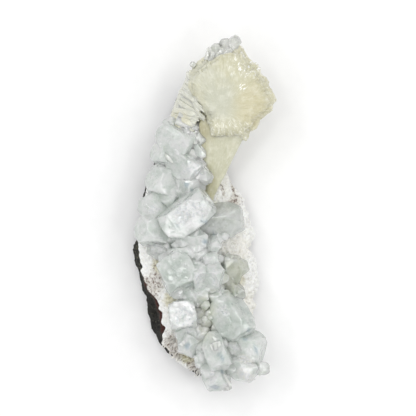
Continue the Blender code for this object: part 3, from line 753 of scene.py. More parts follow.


# Stains on the crust, and olive painted shade in the gaps between crystals, by kind: X, Y, half wide,
# half tall, turn
CRUST_STAINS_AND_SHADE = {
    "brown": [
        (6.4, 8.5, 0.5, 4.0, 20), (10.2, 8.7, 0.6, 3.0, 10), (10.8, 4.0, 2.4, 2.2, 0),
        (-17.4, -24.6, 3.0, 4.2, 30), (-15.2, -19.5, 1.6, 3.4, 10), (-9.3, -45.5, 4.0, 5.0, 40),
        (-3.4, -52.0, 2.0, 3.0, 20)],
    "olive": [
        (0.4, 28.5, 2.4, 7.0, 0), (0.8, 8.1, 2.8, 3.8, 0), (-5.8, -11.3, 2.4, 1.6, 0),
        (-15.4, -17.8, 1.6, 2.6, 20), (1.3, -34.8, 3.2, 8.5, 0), (10.1, -22.5, 3.4, 5.5, 0),
        (-4.5, -48.7, 3.0, 2.2, 0), (-11.3, -29.5, 2.4, 2.4, 0)],
    "pink": [(11.2, -11.5, 5.5, 4.6, 0), (15.9, -31.0, 2.4, 5.5, 0), (6.0, 14.0, 3.4, 6.0, 0)],
}
# Tones of the kinds above: olive is painted shade, brown and pink are the crust's own colours
STAIN_AND_SHADE_TONES = {"brown": (0.80, 0.77, 0.74), "olive": (0.80, 0.77, 0.62), "pink": (0.99, 0.975, 0.945)}


def make_crust(coarse, normals):
    """A thick sheet on the rock: its upper side is a finer grid raised by lumps and crystal points."""
    covered = (slice(1, ROCK_STATIONS - 1), slice(CRUST_FROM, CRUST_TO + 1))
    base, away = coarse[covered], normals[covered]
    rows, columns = base.shape[:2]
    inside = np.clip(np.minimum(from_ends(rows)[:, None], from_ends(columns)[None, :]), 0, 1)
    lumps = waves(base.reshape(-1, 3), CRUST_LUMP_SIZE, 5).reshape(rows, columns)
    height = CRUST_EDGE + inside * (CRUST_THICKNESS - CRUST_EDGE - GAP + CRUST_LUMPS * lumps)
    outer = smooth_sheet(finer(base + away * (GAP + height)[..., None], *CRUST_GRID), 3)
    under = finer(base - away * 0.6, CRUST_GRID[0], CRUST_UNDER_COLUMNS)
    direction = finer(away, *CRUST_GRID)
    direction /= np.linalg.norm(direction, axis=2, keepdims=True)
    rise = np.minimum(from_ends(CRUST_GRID[0])[:, None], from_ends(CRUST_GRID[1])[None, :]) / CRUST_RIM
    rise = np.clip(rise, 0, 1)
    relief = 0.8 * grains(outer, 1.5, 40) + 0.3 * grains(outer, 0.6, 50)
    relief = relief + 0.75 * rough(outer, 3.6, 44, octaves=3) - 0.5
    edge = 0.7 * noise(outer, 1.3, 47) * (1 - rise)
    outer = outer + direction * (relief * (0.35 + 0.65 * rise) - 0.3 * (1 - rise))[..., None]
    half = CRUST_GRID[1] // 2
    outer[..., 0] += edge * np.where(np.arange(CRUST_GRID[1]) < half, -1, 1)[None, :]
    low, high = CRUST_LEFT_SHIFTS
    shift = (high - low) * soft_step(outer[:, :half, 1], -4.0, 2.0) + low
    outer[:, :half, 0] += shift * (1 - rise[:, :half])
    under[..., 0] -= np.linspace(0.6, 0, CRUST_UNDER_COLUMNS)[None, :]
    grid = np.concatenate([outer, under[:, ::-1]], axis=1)
    paint_crust(piece_from("drusy_crust", [grid], sharp=35))


def smooth_sheet(grid, passes):
    """Each inner point moved to the middle of its neighbours."""
    for _ in range(passes):
        grid[1:-1] = (grid[:-2] + 2 * grid[1:-1] + grid[2:]) / 4
        grid[:, 1:-1] = (grid[:, :-2] + 2 * grid[:, 1:-1] + grid[:, 2:]) / 4
    return grid


def paint_crust(piece, stained=1.0):
    """White, with the stains and the olive painted shade of the table over it, and painted shade in its
    pits.
    Brown stains are speckled.
    """
    points = mesh_points(piece)
    tones = np.ones((len(points), 3))
    stain = np.zeros(len(points))
    for kind, rows in CRUST_STAINS_AND_SHADE.items():
        for row in rows:
            share = patch(points, *row)
            tones = blend(tones, STAIN_AND_SHADE_TONES[kind], share)
            if kind == "brown":
                stain = np.maximum(stain, share)
    # Painted shade in the pits and hollows of the crust
    pits = soft_step(-convexity(piece), 0.02, 0.30)
    tones = blend(tones, np.array((0.80, 0.78, 0.72)) * tones, pits)
    paint(piece, "tone", tones)
    mark(piece, "stain", stained * np.clip(stain + 0.10, 0, 1))
    set_piece(piece, crust_finish(), "crust", "white_crust")


# crystals


def crystal_turn(around, above, turn):
    """The matrix that turns a crystal on its axis, tips it up and swings it round."""
    return np.array(Euler(np.radians((turn, -above, around))).to_matrix())


def crystal_grid(values, sides=6, step=0.7, seed=0, relief=0.12):
    """A square section with cut corners, carried along its axis: its corner-to-corner reach stays
    full along the prism, falls evenly to the end face, and shrinks to the middle of that face."""
    x, y, z, around, above, turn, half_width, half_length, end = values
    full = CORNER_CUT * half_width
    flat = min(end, CORNER_CUT - 0.05) * half_width
    prism = max(half_length - (full - flat) / PYRAMID_FALL, 0.05)

    def spaced(low, high):
        count = max(3, int(round(abs(high - low) / step)) + 2)
        return low + (high - low) * (0.5 - 0.5 * np.cos(np.linspace(0, np.pi, count)))

    face = np.linspace(0.08, 1, max(3, int(flat / step)))
    sloped = spaced(half_length, prism)[1:]
    middle = spaced(prism, -prism)[1:-1]
    along = np.concatenate([np.full(len(face), half_length), sloped, middle])
    along = np.concatenate([along, -along[: len(face) + len(sloped)][::-1]])
    shrink = np.concatenate([face, np.ones(len(along) - 2 * len(face)), face[::-1]])
    reach = np.interp(np.abs(along), (prism, half_length), (full, flat))
    trim = 0.06 * half_width
    far = np.minimum(half_width, reach - trim)
    near = np.maximum(reach - half_width, trim)
    corner = np.stack([np.stack(pair, 1) for pair in (
        (far, near), (near, far), (-near, far), (-far, near),
        (-far, -near), (-near, -far), (near, -far), (far, -near))], axis=1)
    after = np.roll(corner, -1, axis=1)
    part = (0.5 - 0.5 * np.cos(np.linspace(0, np.pi, sides + 1)[:-1]))[None, None, :, None]
    ring = corner[:, :, None] * (1 - part) + after[:, :, None] * part
    ring = ring.reshape(len(along), -1, 2) * shrink[:, None, None]
    local = np.concatenate([np.broadcast_to(along[:, None, None], (*ring.shape[:2], 1)), ring], axis=2)
    local = smoothed(local)
    bumps = rough(local * (0.6, 1, 1) + seed * 17.3, 2.6, 60, octaves=3)
    steps = soft_step(noise(local * (0.8, 1, 1) + seed * 5.1, 2.0, 70), 0.05, 0.12)
    local = local + grid_normals(local) * (relief * (0.5 * bumps + 1.3 * steps - 0.7))[..., None]
    return local @ crystal_turn(around, above, turn).T + np.array([x, y, z])


def satellites(values, seed):
    """Smaller crystals on a large one, turned as it is, each standing a little out of one face."""
    x, y, z, around, above, turn, half_width, half_length, _ = values
    draw = np.random.default_rng(seed)
    turned = crystal_turn(around, above, turn)
    made = []
    for _ in range(int(2 + half_width)):
        wide = half_width * draw.uniform(0.32, 0.58)
        long = max(half_length * draw.uniform(0.28, 0.5), wide)
        out = draw.uniform(0.12, 0.4)
        place = draw.uniform(-1, 1, 3) * (0.30 * half_length, half_width - wide, half_width - wide)
        axis = draw.integers(0, 3)
        if axis == 0:
            place = place * (0, 0.45, 0.45)
            place[0] = draw.choice((-1, 1)) * (half_length + out - long)
        else:
            place[axis] = draw.choice((-1, 1)) * (half_width + out - wide)
        centre = turned @ place + np.array([x, y, z])
        made.append((*centre, around, above, turn, wide, long, draw.uniform(0.8, 1.4)))
    return made


def crust_top(x, y):
    """Height of the crust's upper side at a place seen from above."""
    edge, right = row_value(CRUST_LEFT, y), row_value(CRUST_RIGHT, y) - CRUST_THICKNESS
    share = (x - edge) / (right - edge)
    heights = (-1.0, 0.8, 2.0, 2.4, 1.4, -1.2, -4.6)
    bulge = np.interp(share, (0, 0.14, 0.32, 0.5, 0.68, 0.84, 1.0), heights)
    return row_value(ROCK_TOP, y) + bulge + CRUST_OVER_ROCK


# Small crystals with places of their own: round ones that stand alone, and five under the plates
BEADS = [
    (-9.4, -10.6, 24.0, 30, 60, 10, 1.25, 1.35, 1.2),
    (-9.9, -13.2, 23.6, 120, 50, 30, 0.75, 0.85, 1.2),
    (-5.5, -17.8, 25.6, 200, 70, 20, 0.6, 0.7, 1.2),
    (-3.8, -13.0, 25.0, 80, 40, 50, 0.8, 1.1, 1.0),
    (0.6, -31.0, 23.6, 40, 50, 15, 1.3, 1.9, 1.0),
    (0.6, -36.1, 23.6, 100, 55, 35, 1.2, 1.8, 1.0),
    (0.9, -39.5, 23.4, 150, 45, 5, 1.1, 1.7, 1.0),
    (-2.6, 29.4, 22.6, -50, 20, 30, 2.2, 3.0, 1.2),
    (-2.2, 25.4, 22.8, -60, 15, 10, 2.2, 3.2, 1.1),
    (-2.2, 21.4, 22.8, -40, 20, 25, 2.3, 3.2, 1.2),
    (-1.8, 17.4, 22.4, -55, 25, 5, 2.2, 3.0, 1.1),
    (-4.6, 31.6, 22.0, -40, 30, 15, 2.2, 2.8, 1.2),
]


# Room for bare crust at its left edge, below and above this Y
SEEDLING_SPLIT = -9
SEEDLING_ROOM = (5.5, 2.0)
# How far from its centre a large crystal lifts the small ones
SEEDLING_REACH = 3.2


def seedlings(seed, count):
    """Small crystals at random between the large ones: on the crust where no large crystal is
    near, and up to the mean height of the large crystals where they stand close."""
    draw = np.random.default_rng(seed)
    large = np.array(CRYSTALS)
    made = []
    for _ in range(count):
        y = draw.uniform(-54, 30)
        margin = SEEDLING_ROOM[0] if y < SEEDLING_SPLIT else SEEDLING_ROOM[1]
        left, right = row_value(CRUST_LEFT, y) + margin, row_value(CRUST_RIGHT, y) - 4.0
        x = draw.uniform(left, left + (right - left) * (0.55 if y > 2 else 0.85))
        wide = draw.uniform(0.8, 2.0)
        near = np.exp(-((large[:, 0] - x) ** 2 + (large[:, 1] - y) ** 2) / (2 * SEEDLING_REACH**2))
        share = min(near.sum() / 0.6, 1.0)
        height = near @ large[:, 2] / near.sum() + draw.uniform(-1.0, 1.2)
        z = (crust_top(x, y) + 0.5 * wide) * (1 - share) + height * share
        made.append((x, y, z, draw.uniform(0, 360), draw.uniform(20, 80),
                     draw.uniform(0, 90), wide, wide * draw.uniform(1.1, 1.7), draw.uniform(0.8, 1.4)))
    return made


# Marks in the crystals, by kind: X, Y, half wide, half tall, turn. The second kind lightens the tone as
# painted highlight where faces catch the light, and the olive kind darkens it as painted shade in the
# gaps between crystals
CRYSTAL_MARKS = {
    "dark": [
        (-9.2, -23.6, 1.2, 1.3, 0), (-5.2, -23.6, 1.2, 1.3, 0), (18.0, -46.3, 0.8, 1.3, 20),
        (3.7, -58.6, 1.5, 1.2, 0), (6.1, -48.0, 0.6, 1.7, 30), (15.2, -39.2, 0.7, 1.1, 30),
        (13.9, -42.3, 1.0, 0.7, 0), (-5.2, -44.6, 0.9, 1.3, -20), (0.3, -2.6, 1.2, 0.6, 0),
        (4.0, -6.2, 0.7, 0.8, 0), (0.6, -9.3, 0.8, 1.0, 0), (-5.5, 9.8, 0.8, 0.9, 0),
        (-3.8, 8.1, 0.6, 0.5, 0), (6.4, -53.5, 0.5, 0.9, 20), (-8.9, -2.8, 1.6, 1.1, 20),
        (-2.9, 14.5, 1.2, 1.4, 0)],
    "painted_highlight": [
        (-6.2, 0.6, 5.0, 3.4, 30), (-0.9, 1.2, 2.0, 3.0, 0), (-6.9, -34.8, 4.4, 4.4, 0),
        (5.0, -6.3, 0.8, 0.8, 0), (-16.7, 1.6, 2.2, 1.7, 0), (-15.7, -12.0, 2.8, 1.7, 0),
        (-1.8, -21.5, 1.3, 2.6, -20), (3.7, -21.5, 1.1, 3.0, 0), (7.4, -32.4, 2.0, 1.4, -30),
        (10.5, -45.0, 1.4, 0.8, -20), (3.0, -54.8, 1.4, 2.4, 0), (-2.7, 15.5, 3.4, 3.0, 0),
        (-2.7, 29.0, 2.2, 1.6, 30)],
    "warm": [(14.2, -49.3, 2.8, 1.6, -35), (14.6, -54.6, 2.8, 1.4, -30)],
    "olive": [(1.3, -34.8, 3.2, 8.0, 0), (10.1, -22.5, 3.0, 5.5, 0), (11.5, -20.0, 4.0, 5.0, 0)],
    "clear": [(-8.4, -20.4, 5.5, 6.0, 0), (10.4, -35.4, 5.5, 8.0, -30)],
}
MARK_TONES = {
    "dark": (0.55, 0.62, 0.69), "painted_highlight": (1.02, 1.03, 1.02), "warm": (1.08, 1.02, 0.92),
    "olive": (0.93, 0.925, 0.84), "clear": (0.76, 0.785, 0.765),
}


def finish_crystals(piece, finish, edges, slot="apophyllite", node="apophyllite_cluster"):
    """Nearly white, with the marks of the table, more glints where the highlight and warm marks lie, as
    painted white glints and tipped facets, and painted highlight on the convex edges.
    """
    points = mesh_points(piece)
    tones = np.ones((len(points), 3)) * 0.97
    # Sparkle sets how many painted glints and tipped facets the finish gives each point
    sparkle = np.full(len(points), 0.08)
    upper = soft_step(points[:, 2], 16.0, 19.0)
    for kind, rows in CRYSTAL_MARKS.items():
        for row in rows:
            share = patch(points, *row, ragged=0.5) * upper
            tones = blend(tones, MARK_TONES[kind], share * (0.9 if kind == "dark" else 1.0))
            if kind in ("painted_highlight", "warm"):
                sparkle = np.maximum(sparkle, share)
    paint(piece, "tone", np.clip(tones, 0, 1.1))
    mark(piece, "sparkle", sparkle)
    # Painted highlight along the convex edges
    mark(piece, "edge", edges * soft_step(convexity(piece), 0.05, 0.28))
    set_piece(piece, finish, slot, node)


# Numbers in the table of the crystals that are clearer than the rest
GLASSY = (1, 5, 8, 13, 14, 15, 16, 24, 25, 26, 30, 31, 34, 41, 48)
# Half width above which smaller crystals grow on a crystal
LARGE = 2.4

# Thin milky plates with a point, in stacks: foot X, Y, Z, tip X, Y, Z, half width, how many lie
# side by side, and how far apart they are
PLATES = [
    (-8.6, 32.2, 23.2, -2.4, 30.4, 26.2, 1.7, 2, 1.6),
    (-6.6, 30.2, 23.8, -1.0, 27.0, 26.4, 1.5, 2, 1.4),
    (-6.4, 28.2, 24.4, -0.6, 23.6, 26.2, 1.7, 2, 1.5),
    (-6.0, 24.6, 24.0, -0.3, 19.2, 25.0, 2.2, 2, 1.9),
    (-7.0, 20.4, 24.0, -1.6, 14.8, 24.9, 2.4, 2, 2.0),
    (-4.6, 17.4, 24.6, 1.4, 10.8, 25.4, 2.2, 3, 1.7),
    (-11.4, 27.4, 23.4, -4.8, 24.0, 26.2, 2.0, 2, 2.0),
    (-11.8, 22.0, 22.8, -5.0, 17.2, 25.8, 2.2, 2, 2.2),
    (-1.4, 6.2, 28.0, 2.6, 2.2, 29.8, 0.9, 3, 1.1),
    (12.2, -48.2, 23.6, 17.8, -52.0, 22.8, 1.0, 3, 1.2),
    (12.0, -53.0, 22.2, 17.6, -56.2, 20.6, 0.9, 3, 1.2),
    (3.0, -53.2, 23.4, 4.4, -58.8, 21.4, 0.9, 3, 1.0),
    (5.8, -54.8, 22.8, 8.8, -59.8, 20.2, 0.8, 3, 1.0),
    (-6.8, -42.8, 24.4, -3.8, -47.2, 23.2, 0.9, 3, 1.1),
    (3.8, -43.2, 28.6, 6.0, -49.8, 27.6, 0.9, 3, 1.2),
]
# Plates on the upper rim of the stilbite's head, with the same values
RIM_PLATES = [
    (5.6, 51.6, 27.2, 8.6, 57.6, 26.2, 1.5, 2, 1.7),
    (3.4, 51.4, 27.0, 4.6, 56.4, 26.0, 1.3, 2, 1.5),
    (8.6, 53.6, 26.6, 11.0, 58.6, 25.8, 1.4, 2, 1.6),
    (1.6, 51.6, 26.8, 2.6, 55.6, 26.0, 1.0, 2, 1.2),
]


def plate_stacks(rows, seed):
    """Each stack's plates side by side, lower the further they lie from its middle one."""
    draw = np.random.default_rng(seed)
    grids = []
    for row in rows:
        foot, tip, (wide, count, apart) = np.array(row[:3]), np.array(row[3:6]), row[6:]
        along = (tip - foot) / np.linalg.norm(tip - foot)
        across = np.cross(along, (0, 0, 1))
        for number in range(count):
            place = number - (count - 1) / 2
            shift = across * apart * place + draw.uniform(-0.2, 0.2, 3)
            shift[2] -= 0.25 * abs(place)
            end = tip + shift - along * draw.uniform(0, 1.4)
            grids.append(lath_grid(foot + shift, end, wide * draw.uniform(0.6, 1.0),
                                   draw.uniform(0.7, 1.0), 20, number))
    return grids


def make_crystals():
    """The cluster: every crystal of the table, what grows on the large ones, and small ones between.
    Then the plates, and the crystals on the stilbite's head."""
    milky, clear = [], []
    for number, values in enumerate(CRYSTALS):
        grids = clear if number in GLASSY else milky
        grids.append(crystal_grid(values, seed=number))
        if values[6] > LARGE:
            for extra in satellites(values, 100 + number):
                grids.append(crystal_grid(extra, sides=3, step=1.0, seed=number, relief=0.06))
    for number, values in enumerate(seedlings(5, 300) + BEADS):
        milky.append(crystal_grid(values, sides=2, step=1.0, seed=number, relief=0.04))
    finish = crystal_finish("milky apophyllite", 0.36, (0.77, 0.83, 0.78), (0.98, 1.0, 0.98), 2.0)
    finish_crystals(joined("apophyllite_crystals", milky), finish, 0.6)
    finish = crystal_finish("clear apophyllite", 0.52, (0.76, 0.80, 0.73), (0.98, 1.0, 0.98), 1.6)
    finish_crystals(joined("clear_crystals", clear), finish, 0.6)
    finish = crystal_finish("pale apophyllite", 0.30, (0.85, 0.88, 0.79), (0.98, 1.0, 0.93), 1.0)
    finish_crystals(piece_from("crystal_plates", plate_stacks(PLATES, 41), sharp=30), finish, 0.3)

    finish = crystal_finish("grey apophyllite", 0.30, (0.60, 0.61, 0.57), (0.80, 0.81, 0.76), 0.8)
    grids = [crystal_grid(values, sides=5, step=0.4, seed=number + 80, relief=0.1)
             for number, values in enumerate(TIP_CRYSTALS)]
    tips = joined("tip_crystals", grids + plate_stacks(RIM_PLATES, 43))
    finish_crystals(tips, finish, 0.1, "tip_apophyllite", "tip_apophyllite")
    bead = piece_from("bead_crystal", [crystal_grid(BEAD_CRYSTAL, sides=6, step=0.2, relief=0.03)])
    finish_crystals(bead, finish, 0.1, "tip_apophyllite", "bead_apophyllite")


# stilbite


def blade_numbers(angles, count, seed):
    """Which of count blades of uneven width holds each angle, and a ridge across each blade."""
    draw = np.random.default_rng(seed)
    edges = np.cumsum(draw.uniform(0.5, 1.5, count))
    edges = np.concatenate([[0], edges / edges[-1] * 360])
    which = np.clip(np.searchsorted(edges, angles % 360, side="right") - 1, 0, count - 1)
    part = (angles % 360 - edges[which]) / (edges[which + 1] - edges[which])
    return which, 1 - (2 * part - 1) ** 2


def make_head():
    """The head's profile carried round its middle. Its reach follows the outline, and in layers of
    its height each blade ends at a distance of its own, so the rim is a stack of broken plates."""
    columns, rows = 620, 150
    angles = np.arange(columns) * 360 / columns
    shares, heights = np.array(HEAD_PROFILE).T
    length = np.concatenate([[0], np.cumsum(np.hypot(np.diff(shares) * 18, np.diff(heights)))])
    at = np.linspace(0, length[-1], rows)
    share = np.interp(at, length, shares)[:, None]
    height = np.interp(at, length, heights)[:, None]
    directions, reaches = np.array(HEAD_OUTLINE, float).T
    reach = np.interp(angles, directions, reaches, period=360)[None, :]
    draw = np.random.default_rng(8)
    top = height > 25

    outward = np.zeros((rows, columns))
    raise_by = np.zeros((rows, columns))
    layer = ((height - HEAD_LOWEST) / HEAD_LAYER_HEIGHT).astype(int)
    layer = np.clip(layer, 0, HEAD_LAYERS - 1)[:, 0]
    for number in range(HEAD_LAYERS):
        which, ridge = blade_numbers(angles, HEAD_BLADES, 200 + number)
        ends = draw.uniform(-0.045, 0.03, HEAD_BLADES)[which] - 0.012 * (1 - ridge)
        outward[layer == number] = ends
    for number in range(5):
        count = 46 + 14 * number
        which, ridge = blade_numbers(angles, count, 300 + number)
        begins = draw.uniform(0.42 + 0.09 * number, 0.66 + 0.09 * number, count)[which]
        drop = draw.uniform(0.01, 0.09, count)[which]
        raise_by -= top * drop * soft_step(share, begins, begins + 0.012) * soft_step(share, 0.3, 0.6)
        raise_by += 0.03 * (ridge - 0.5) * soft_step(share, 0.1, 0.7)
    outward *= 0.75 * soft_step(share, 0.72, 0.88)
    spread = share + outward
    x = HEAD_MIDDLE[0] + reach * spread * np.cos(np.radians(angles))
    y = HEAD_MIDDLE[1] + reach * spread * np.sin(np.radians(angles))
    z = height + raise_by + 0.25 * (1 - soft_step(share, 0.1, 0.5)) + np.zeros_like(x)
    grid = np.stack([x, y, z], axis=2)
    low_zone = patch(grid, 7.5, 27.5, 7.5, 4.5, soft=0.3)[..., None]
    relief = 0.22 * (grains(grid, 1.1, 90)[..., None] - 0.45) * low_zone
    fine = 0.05 * rough(grid, 1.6, 92, octaves=3)[..., None]
    relief = relief + fine * soft_step(share, 0.4, 0.8)[..., None]
    relief = relief + 0.20 * rough(grid, 6.0, 95, octaves=2)[..., None]
    grid = grid + (relief - 0.15) * grid_normals(grid) * soft_step(share, 0.02, 0.12)[..., None]
    piece = piece_from("stilbite_head", [grid], sharp=28)
    points = mesh_points(piece)
    tones = tinted(points, (0.585, 0.57, 0.42), [
        ((0.53, 0.535, 0.43), 1.0, 5.4, 38.0, 6.5, 7.5, 0.7),
        ((0.575, 0.535, 0.355), 0.8, 16.5, 36.0, 5.5, 8.5, 0.6),
        ((0.56, 0.545, 0.40), 0.7, 8.0, 27.5, 8.0, 4.0, 0.4),
        ((0.58, 0.58, 0.48), 0.8, -1.0, 47.0, 5.0, 5.0, 0.5)])
    rim = soft_step(np.hypot(points[:, 0] - 6.4, points[:, 1] - 37.0), 14.0, 19.0)
    tones = blend(tones, (0.61, 0.585, 0.45), 0.5 * rim)
    paint(piece, "tone", tones)
    # Sparkle sets the head's painted glints, white flecks and dashes, and its tipped facets
    sparkle = 0.12 + 0.4 * patch(points, 8.0, 27.5, 8.0, 4.5) + 0.45 * rim
    sparkle += 0.7 * patch(points, 15.0, 49.0, 5.0, 3.6) + 0.7 * patch(points, 13.0, 42.4, 1.7, 1.5)
    mark(piece, "sparkle", np.clip(sparkle, 0, 1))
    finish = stilbite_finish("stilbite", (*HEAD_MIDDLE, 24.0), 14.0, 0.33)
    set_piece(piece, finish, "stilbite", "stilbite_sheaf")


def make_neck():
    """A flat oval section with long ridges, carried from the foot up under the head as it spreads."""
    columns, rows = 200, 90
    rise, direction = np.radians(NECK_RISE), np.radians(NECK_DIRECTION)
    level = np.array([np.cos(direction), np.sin(direction), 0.0])
    along = level * np.cos(rise) + np.array([0.0, 0.0, np.sin(rise)])
    across = np.array([level[1], -level[0], 0.0])
    up = np.cross(across, along)
    side, front = squared_oval(columns, 0.7, 0.35)
    share = np.linspace(0, NECK_DEPTHS[-1][0], rows)[:, None]
    ridges = rough(np.stack([side * 9, front * 2, side * 0], axis=1), 1.1, 110, octaves=3, keep=0.6)
    wide = np.interp(share, (0, 1), NECK_HALF_WIDTHS)
    deep = row_value(NECK_DEPTHS, share)
    grow = 1 + 0.025 * ridges[None, :]
    spread = NECK_SPREAD[0] * share * wide + NECK_SPREAD[1] * soft_step(share, 0.25, 0.85)
    a = side[None, :] * wide + np.minimum(side[None, :], 0) * spread
    b = front[None, :] * deep * grow
    middle = np.array(NECK_FOOT) + along * NECK_LENGTH * share[..., None]
    grid = middle + a[..., None] * across + b[..., None] * up
    grid = grid + grid_normals(grid) * (0.12 * rough(grid, 2.4, 115, octaves=3)[..., None] - 0.06)
    piece = piece_from("stilbite_neck", [grid], sharp=35)
    points = mesh_points(piece)
    # Both ovals over the neck's tone are painted shade: warm olive shade in the gap at its side and in
    # the gap under the head
    tones = tinted(points, (0.56, 0.555, 0.42), [
        ((0.56, 0.53, 0.33), 0.8, 1.0, 9.0, 3.4, 6.0, 0.6),
        ((0.47, 0.44, 0.28), 0.9, -0.4, 28.5, 3.0, 6.0, 0.8)])
    paint(piece, "tone", tones)
    mark(piece, "sparkle", np.full(len(points), 0.12))
    foot = (NECK_FOOT[0] - 1.6, NECK_FOOT[1] - 5.0, 18.0)
    finish = stilbite_finish("striped stilbite", foot, 36.0, 0.36, 1.5)
    set_piece(piece, finish, "stilbite", "stilbite_sheaf")


def lath_grid(foot, tip, wide, deep, rows, seed, columns=12, ridge=0.0, arch=0.0):
    """A flat squared section carried from foot to tip, and drawn in to a chisel point. It may
    have lines along it, as ridges on its two faces, and may arch up between its ends."""
    foot, tip = np.array(foot), np.array(tip)
    along = tip - foot
    length = np.linalg.norm(along)
    along = along / length
    across = np.cross(along, (0, 0, 1))
    across /= np.linalg.norm(across)
    up = np.cross(across, along)
    side, front = squared_oval(columns, 0.6, 0.6)
    share = np.linspace(0, 1, rows)[:, None]
    point = 1 - soft_step(share, 0.82, 1.04) * 0.85
    bend = 0.35 * np.sin(share * np.pi) * np.sin(seed * 2.4)
    lines = rough(np.stack([side * wide, front, side * 0 + seed * 3.7], axis=1), 0.45, 130, octaves=2)
    a = side[None, :] * wide * point + bend
    b = front[None, :] * (deep * point + ridge * lines[None, :] * point) + arch * np.sin(share * np.pi)
    return foot + along * length * share[..., None] + a[..., None] * across + b[..., None] * up


def side_sheet():
    """The sheaf's body: each station along the bundles is a closed section that arches from the
    foot to the tip and back below, and lines along it raise and lower whole stations."""
    rows, columns = 190, 72
    table = np.array(SIDE_BUNDLES)
    at = np.linspace(0, len(table) - 1, rows)
    number = np.arange(len(table))
    foot = np.stack([np.interp(at, number, table[:, k]) for k in range(3)], axis=1)[:, None]
    tip = np.stack([np.interp(at, number, table[:, k + 3]) for k in range(3)], axis=1)[:, None]
    side, front = squared_oval(columns, 1, 0.6)
    share = (0.5 - 0.5 * side)[None, :, None]
    fade = np.sin(np.pi * np.linspace(0.02, 0.98, rows)) ** 0.4
    places = np.stack([at * 2.1, at * 0, at * 0], axis=1)
    lines = rough(places, 0.42, 140, octaves=3, keep=0.6) * 0.10 + rough(places, 2.4, 141) * 0.12
    ends = 1 - 0.16 * soft_step(rough(places, 0.9, 142), -0.3, 0.3)
    ends = 1 - (1 - ends)[:, None] * soft_step(share[0, :, 0], 0.6, 1.0)[None, :]
    grid = foot + (tip - foot) * (share * ends[..., None]) * SIDE_REACH
    lift = front[None, :] * (SIDE_HALF_DEPTH + lines[:, None]) * fade[:, None]
    grid[..., 2] += lift + 1.0 * np.sin(np.pi * share[..., 0]) * fade[:, None]
    return grid


def make_side():
    """A lined body, with narrow arched blades along it in each bundle, up to the bundle's tip."""
    draw = np.random.default_rng(17)
    grids = [side_sheet()]
    for number, row in enumerate(SIDE_BUNDLES):
        foot, tip, half = np.array(row[:3]), np.array(row[3:6]), row[6]
        for blade in range(2):
            shift = draw.uniform(-1, 1, 3) * (half * 0.4, half * 0.7, 0.1)
            end = tip + shift - (tip - foot) * draw.uniform(0.0, 0.16)
            begin = foot + (tip - foot) * draw.uniform(0.18, 0.34) + shift
            grids.append(lath_grid(begin, end, half * draw.uniform(0.5, 1.0),
                                   draw.uniform(1.45, 1.75), 28, number * 4 + blade, 48, 0.05, 0.9))
    piece = piece_from("side_laths", grids, sharp=40)
    points = mesh_points(piece)
    spots = [((0.70, 0.66, 0.46), 0.6, -9.0, 31.5, 4.0, 3.0, 0.6)]
    paint(piece, "tone", tinted(points, (0.64, 0.645, 0.565), spots))
    mark(piece, "sparkle", np.full(len(points), 0.3))
    finish = stilbite_finish("silky stilbite", (-30.0, 60.0, 20.0), 90.0, 0.25, 0.4)
    set_piece(piece, finish, "side_stilbite", "side_sheaf")


FRINGE_LATHS = 150


def make_fringe():
    """Short white laths that lean out over the crust's lower left edge."""
    draw = np.random.default_rng(23)
    grids = []
    for number in range(FRINGE_LATHS):
        y = draw.uniform(-54, -39)
        x = row_value(CRUST_LEFT, y) + draw.uniform(0.6, 7.5)
        z = crust_top(x, y) - 1.6
        lean = np.radians(draw.uniform(195, 275))
        length = draw.uniform(2.0, 4.6)
        rise = draw.uniform(0.2, 0.9)
        far = length * 0.8
        tip = (x + far * np.cos(lean), y + far * np.sin(lean), z + 1.5 + length * rise * 0.4)
        if tip[1] < -56.5 or tip[0] < row_value(ROCK_LEFT, np.clip(tip[1], -55, 44)) - 1.0:
            continue
        wide, deep = draw.uniform(0.2, 0.45), draw.uniform(0.25, 0.5)
        grids.append(lath_grid((x, y, z), tip, wide, deep, 8, number))
    piece = piece_from("white_fringe", grids, sharp=30)
    paint_crust(piece, 0.4)


# light, floor and camera


WORLD_STRENGTH = 0.55
SOFTBOX_DISTANCE = 800.0
# Watts of a softbox of strength 1
SOFTBOX_WATTS = 0.80
# Softboxes on a dome: direction round and above the floor in degrees, side, and strength
SOFTBOXES = [
    (-90, 55, 190, 0.50), (92, 70, 170, 0.60), (135, 58, 190, 0.85), (30, 62, 150, 0.45),
    (-152, 64, 140, 0.40), (-35, 68, 140, 0.40), (180, 42, 150, 0.40), (0, 38, 150, 0.35),
    (60, 36, 150, 0.30), (-60, 34, 150, 0.30), (45, 80, 90, 0.20), (150, 78, 90, 0.20),
    (-130, 80, 90, 0.20), (70, 52, 110, 0.30), (175, 62, 110, 0.30), (-10, 54, 110, 0.30),
]


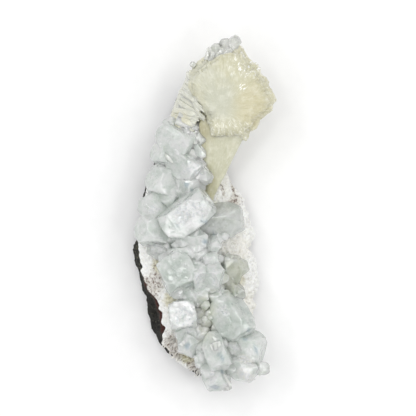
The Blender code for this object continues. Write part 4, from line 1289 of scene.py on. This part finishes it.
def area_light(name, around, above, side, power):
    """A square softbox on the dome, aimed at the specimen's middle."""
    lamp = bpy.data.lights.new(name, "AREA")
    lamp.size = side * MM
    lamp.energy = power * SOFTBOX_WATTS
    level = SOFTBOX_DISTANCE * np.cos(np.radians(above))
    place = Vector((level * np.cos(np.radians(around)), level * np.sin(np.radians(around)),
                    SOFTBOX_DISTANCE * np.sin(np.radians(above))))
    holder = bpy.data.objects.new(name, lamp)
    holder.location = place * MM
    holder.rotation_euler = (-place).to_track_quat("-Z", "Y").to_euler()
    bpy.context.scene.collection.objects.link(holder)


def make_studio():
    """A white card floor, soft light from the upper left, and a camera that looks straight down."""
    mesh = bpy.data.meshes.new("floor")
    half = 2.5
    corners = [(-half, -half, 0), (half, -half, 0), (half, half, 0), (-half, half, 0)]
    mesh.from_pydata(corners, [], [(0, 1, 2, 3)])
    floor = bpy.data.objects.new("floor", mesh)
    floor.location.z = -0.05 * MM
    bpy.context.scene.collection.objects.link(floor)
    mesh.materials.append(floor_finish())

    world = bpy.data.worlds.new("studio")
    world.use_nodes = True
    back = world.node_tree.nodes["Background"]
    back.inputs["Color"].default_value = (1.0, 1.0, 1.0, 1.0)
    back.inputs["Strength"].default_value = WORLD_STRENGTH
    bpy.context.scene.world = world
    for number, (around, above, side, power) in enumerate(SOFTBOXES):
        area_light(f"softbox {number}", around, above, side, power)

    # The frame is 416 pixels of 0.34 mm at the height of the crystals
    lens, distance, height = 255.0, 1000.0, 20.0
    middle = (1.63, 1.94)
    camera = bpy.data.cameras.new("camera")
    camera.lens = lens
    camera.sensor_width = 36.0
    camera.clip_end = 10.0
    holder = bpy.data.objects.new("camera", camera)
    holder.location = Vector((*middle, height + distance)) * MM
    bpy.context.scene.collection.objects.link(holder)
    bpy.context.scene.camera = holder
    bpy.context.scene.view_settings.view_transform = "Standard"


def build():
    smooth = rock_grid()
    normals = grid_normals(smooth)
    broken = np.random.default_rng(11).uniform(-1, 1, smooth.shape) * ROCK_ROUGHNESS
    broken[smooth[:, :, 2] < ROCK_FLAT_BELOW] = 0.0
    broken[[0, 1, -2, -1]] = 0.0
    make_rock(smooth + broken)
    make_crust(smooth + broken, normals)
    make_fringe()
    make_crystals()
    make_head()
    make_neck()
    make_side()
    make_studio()


build()
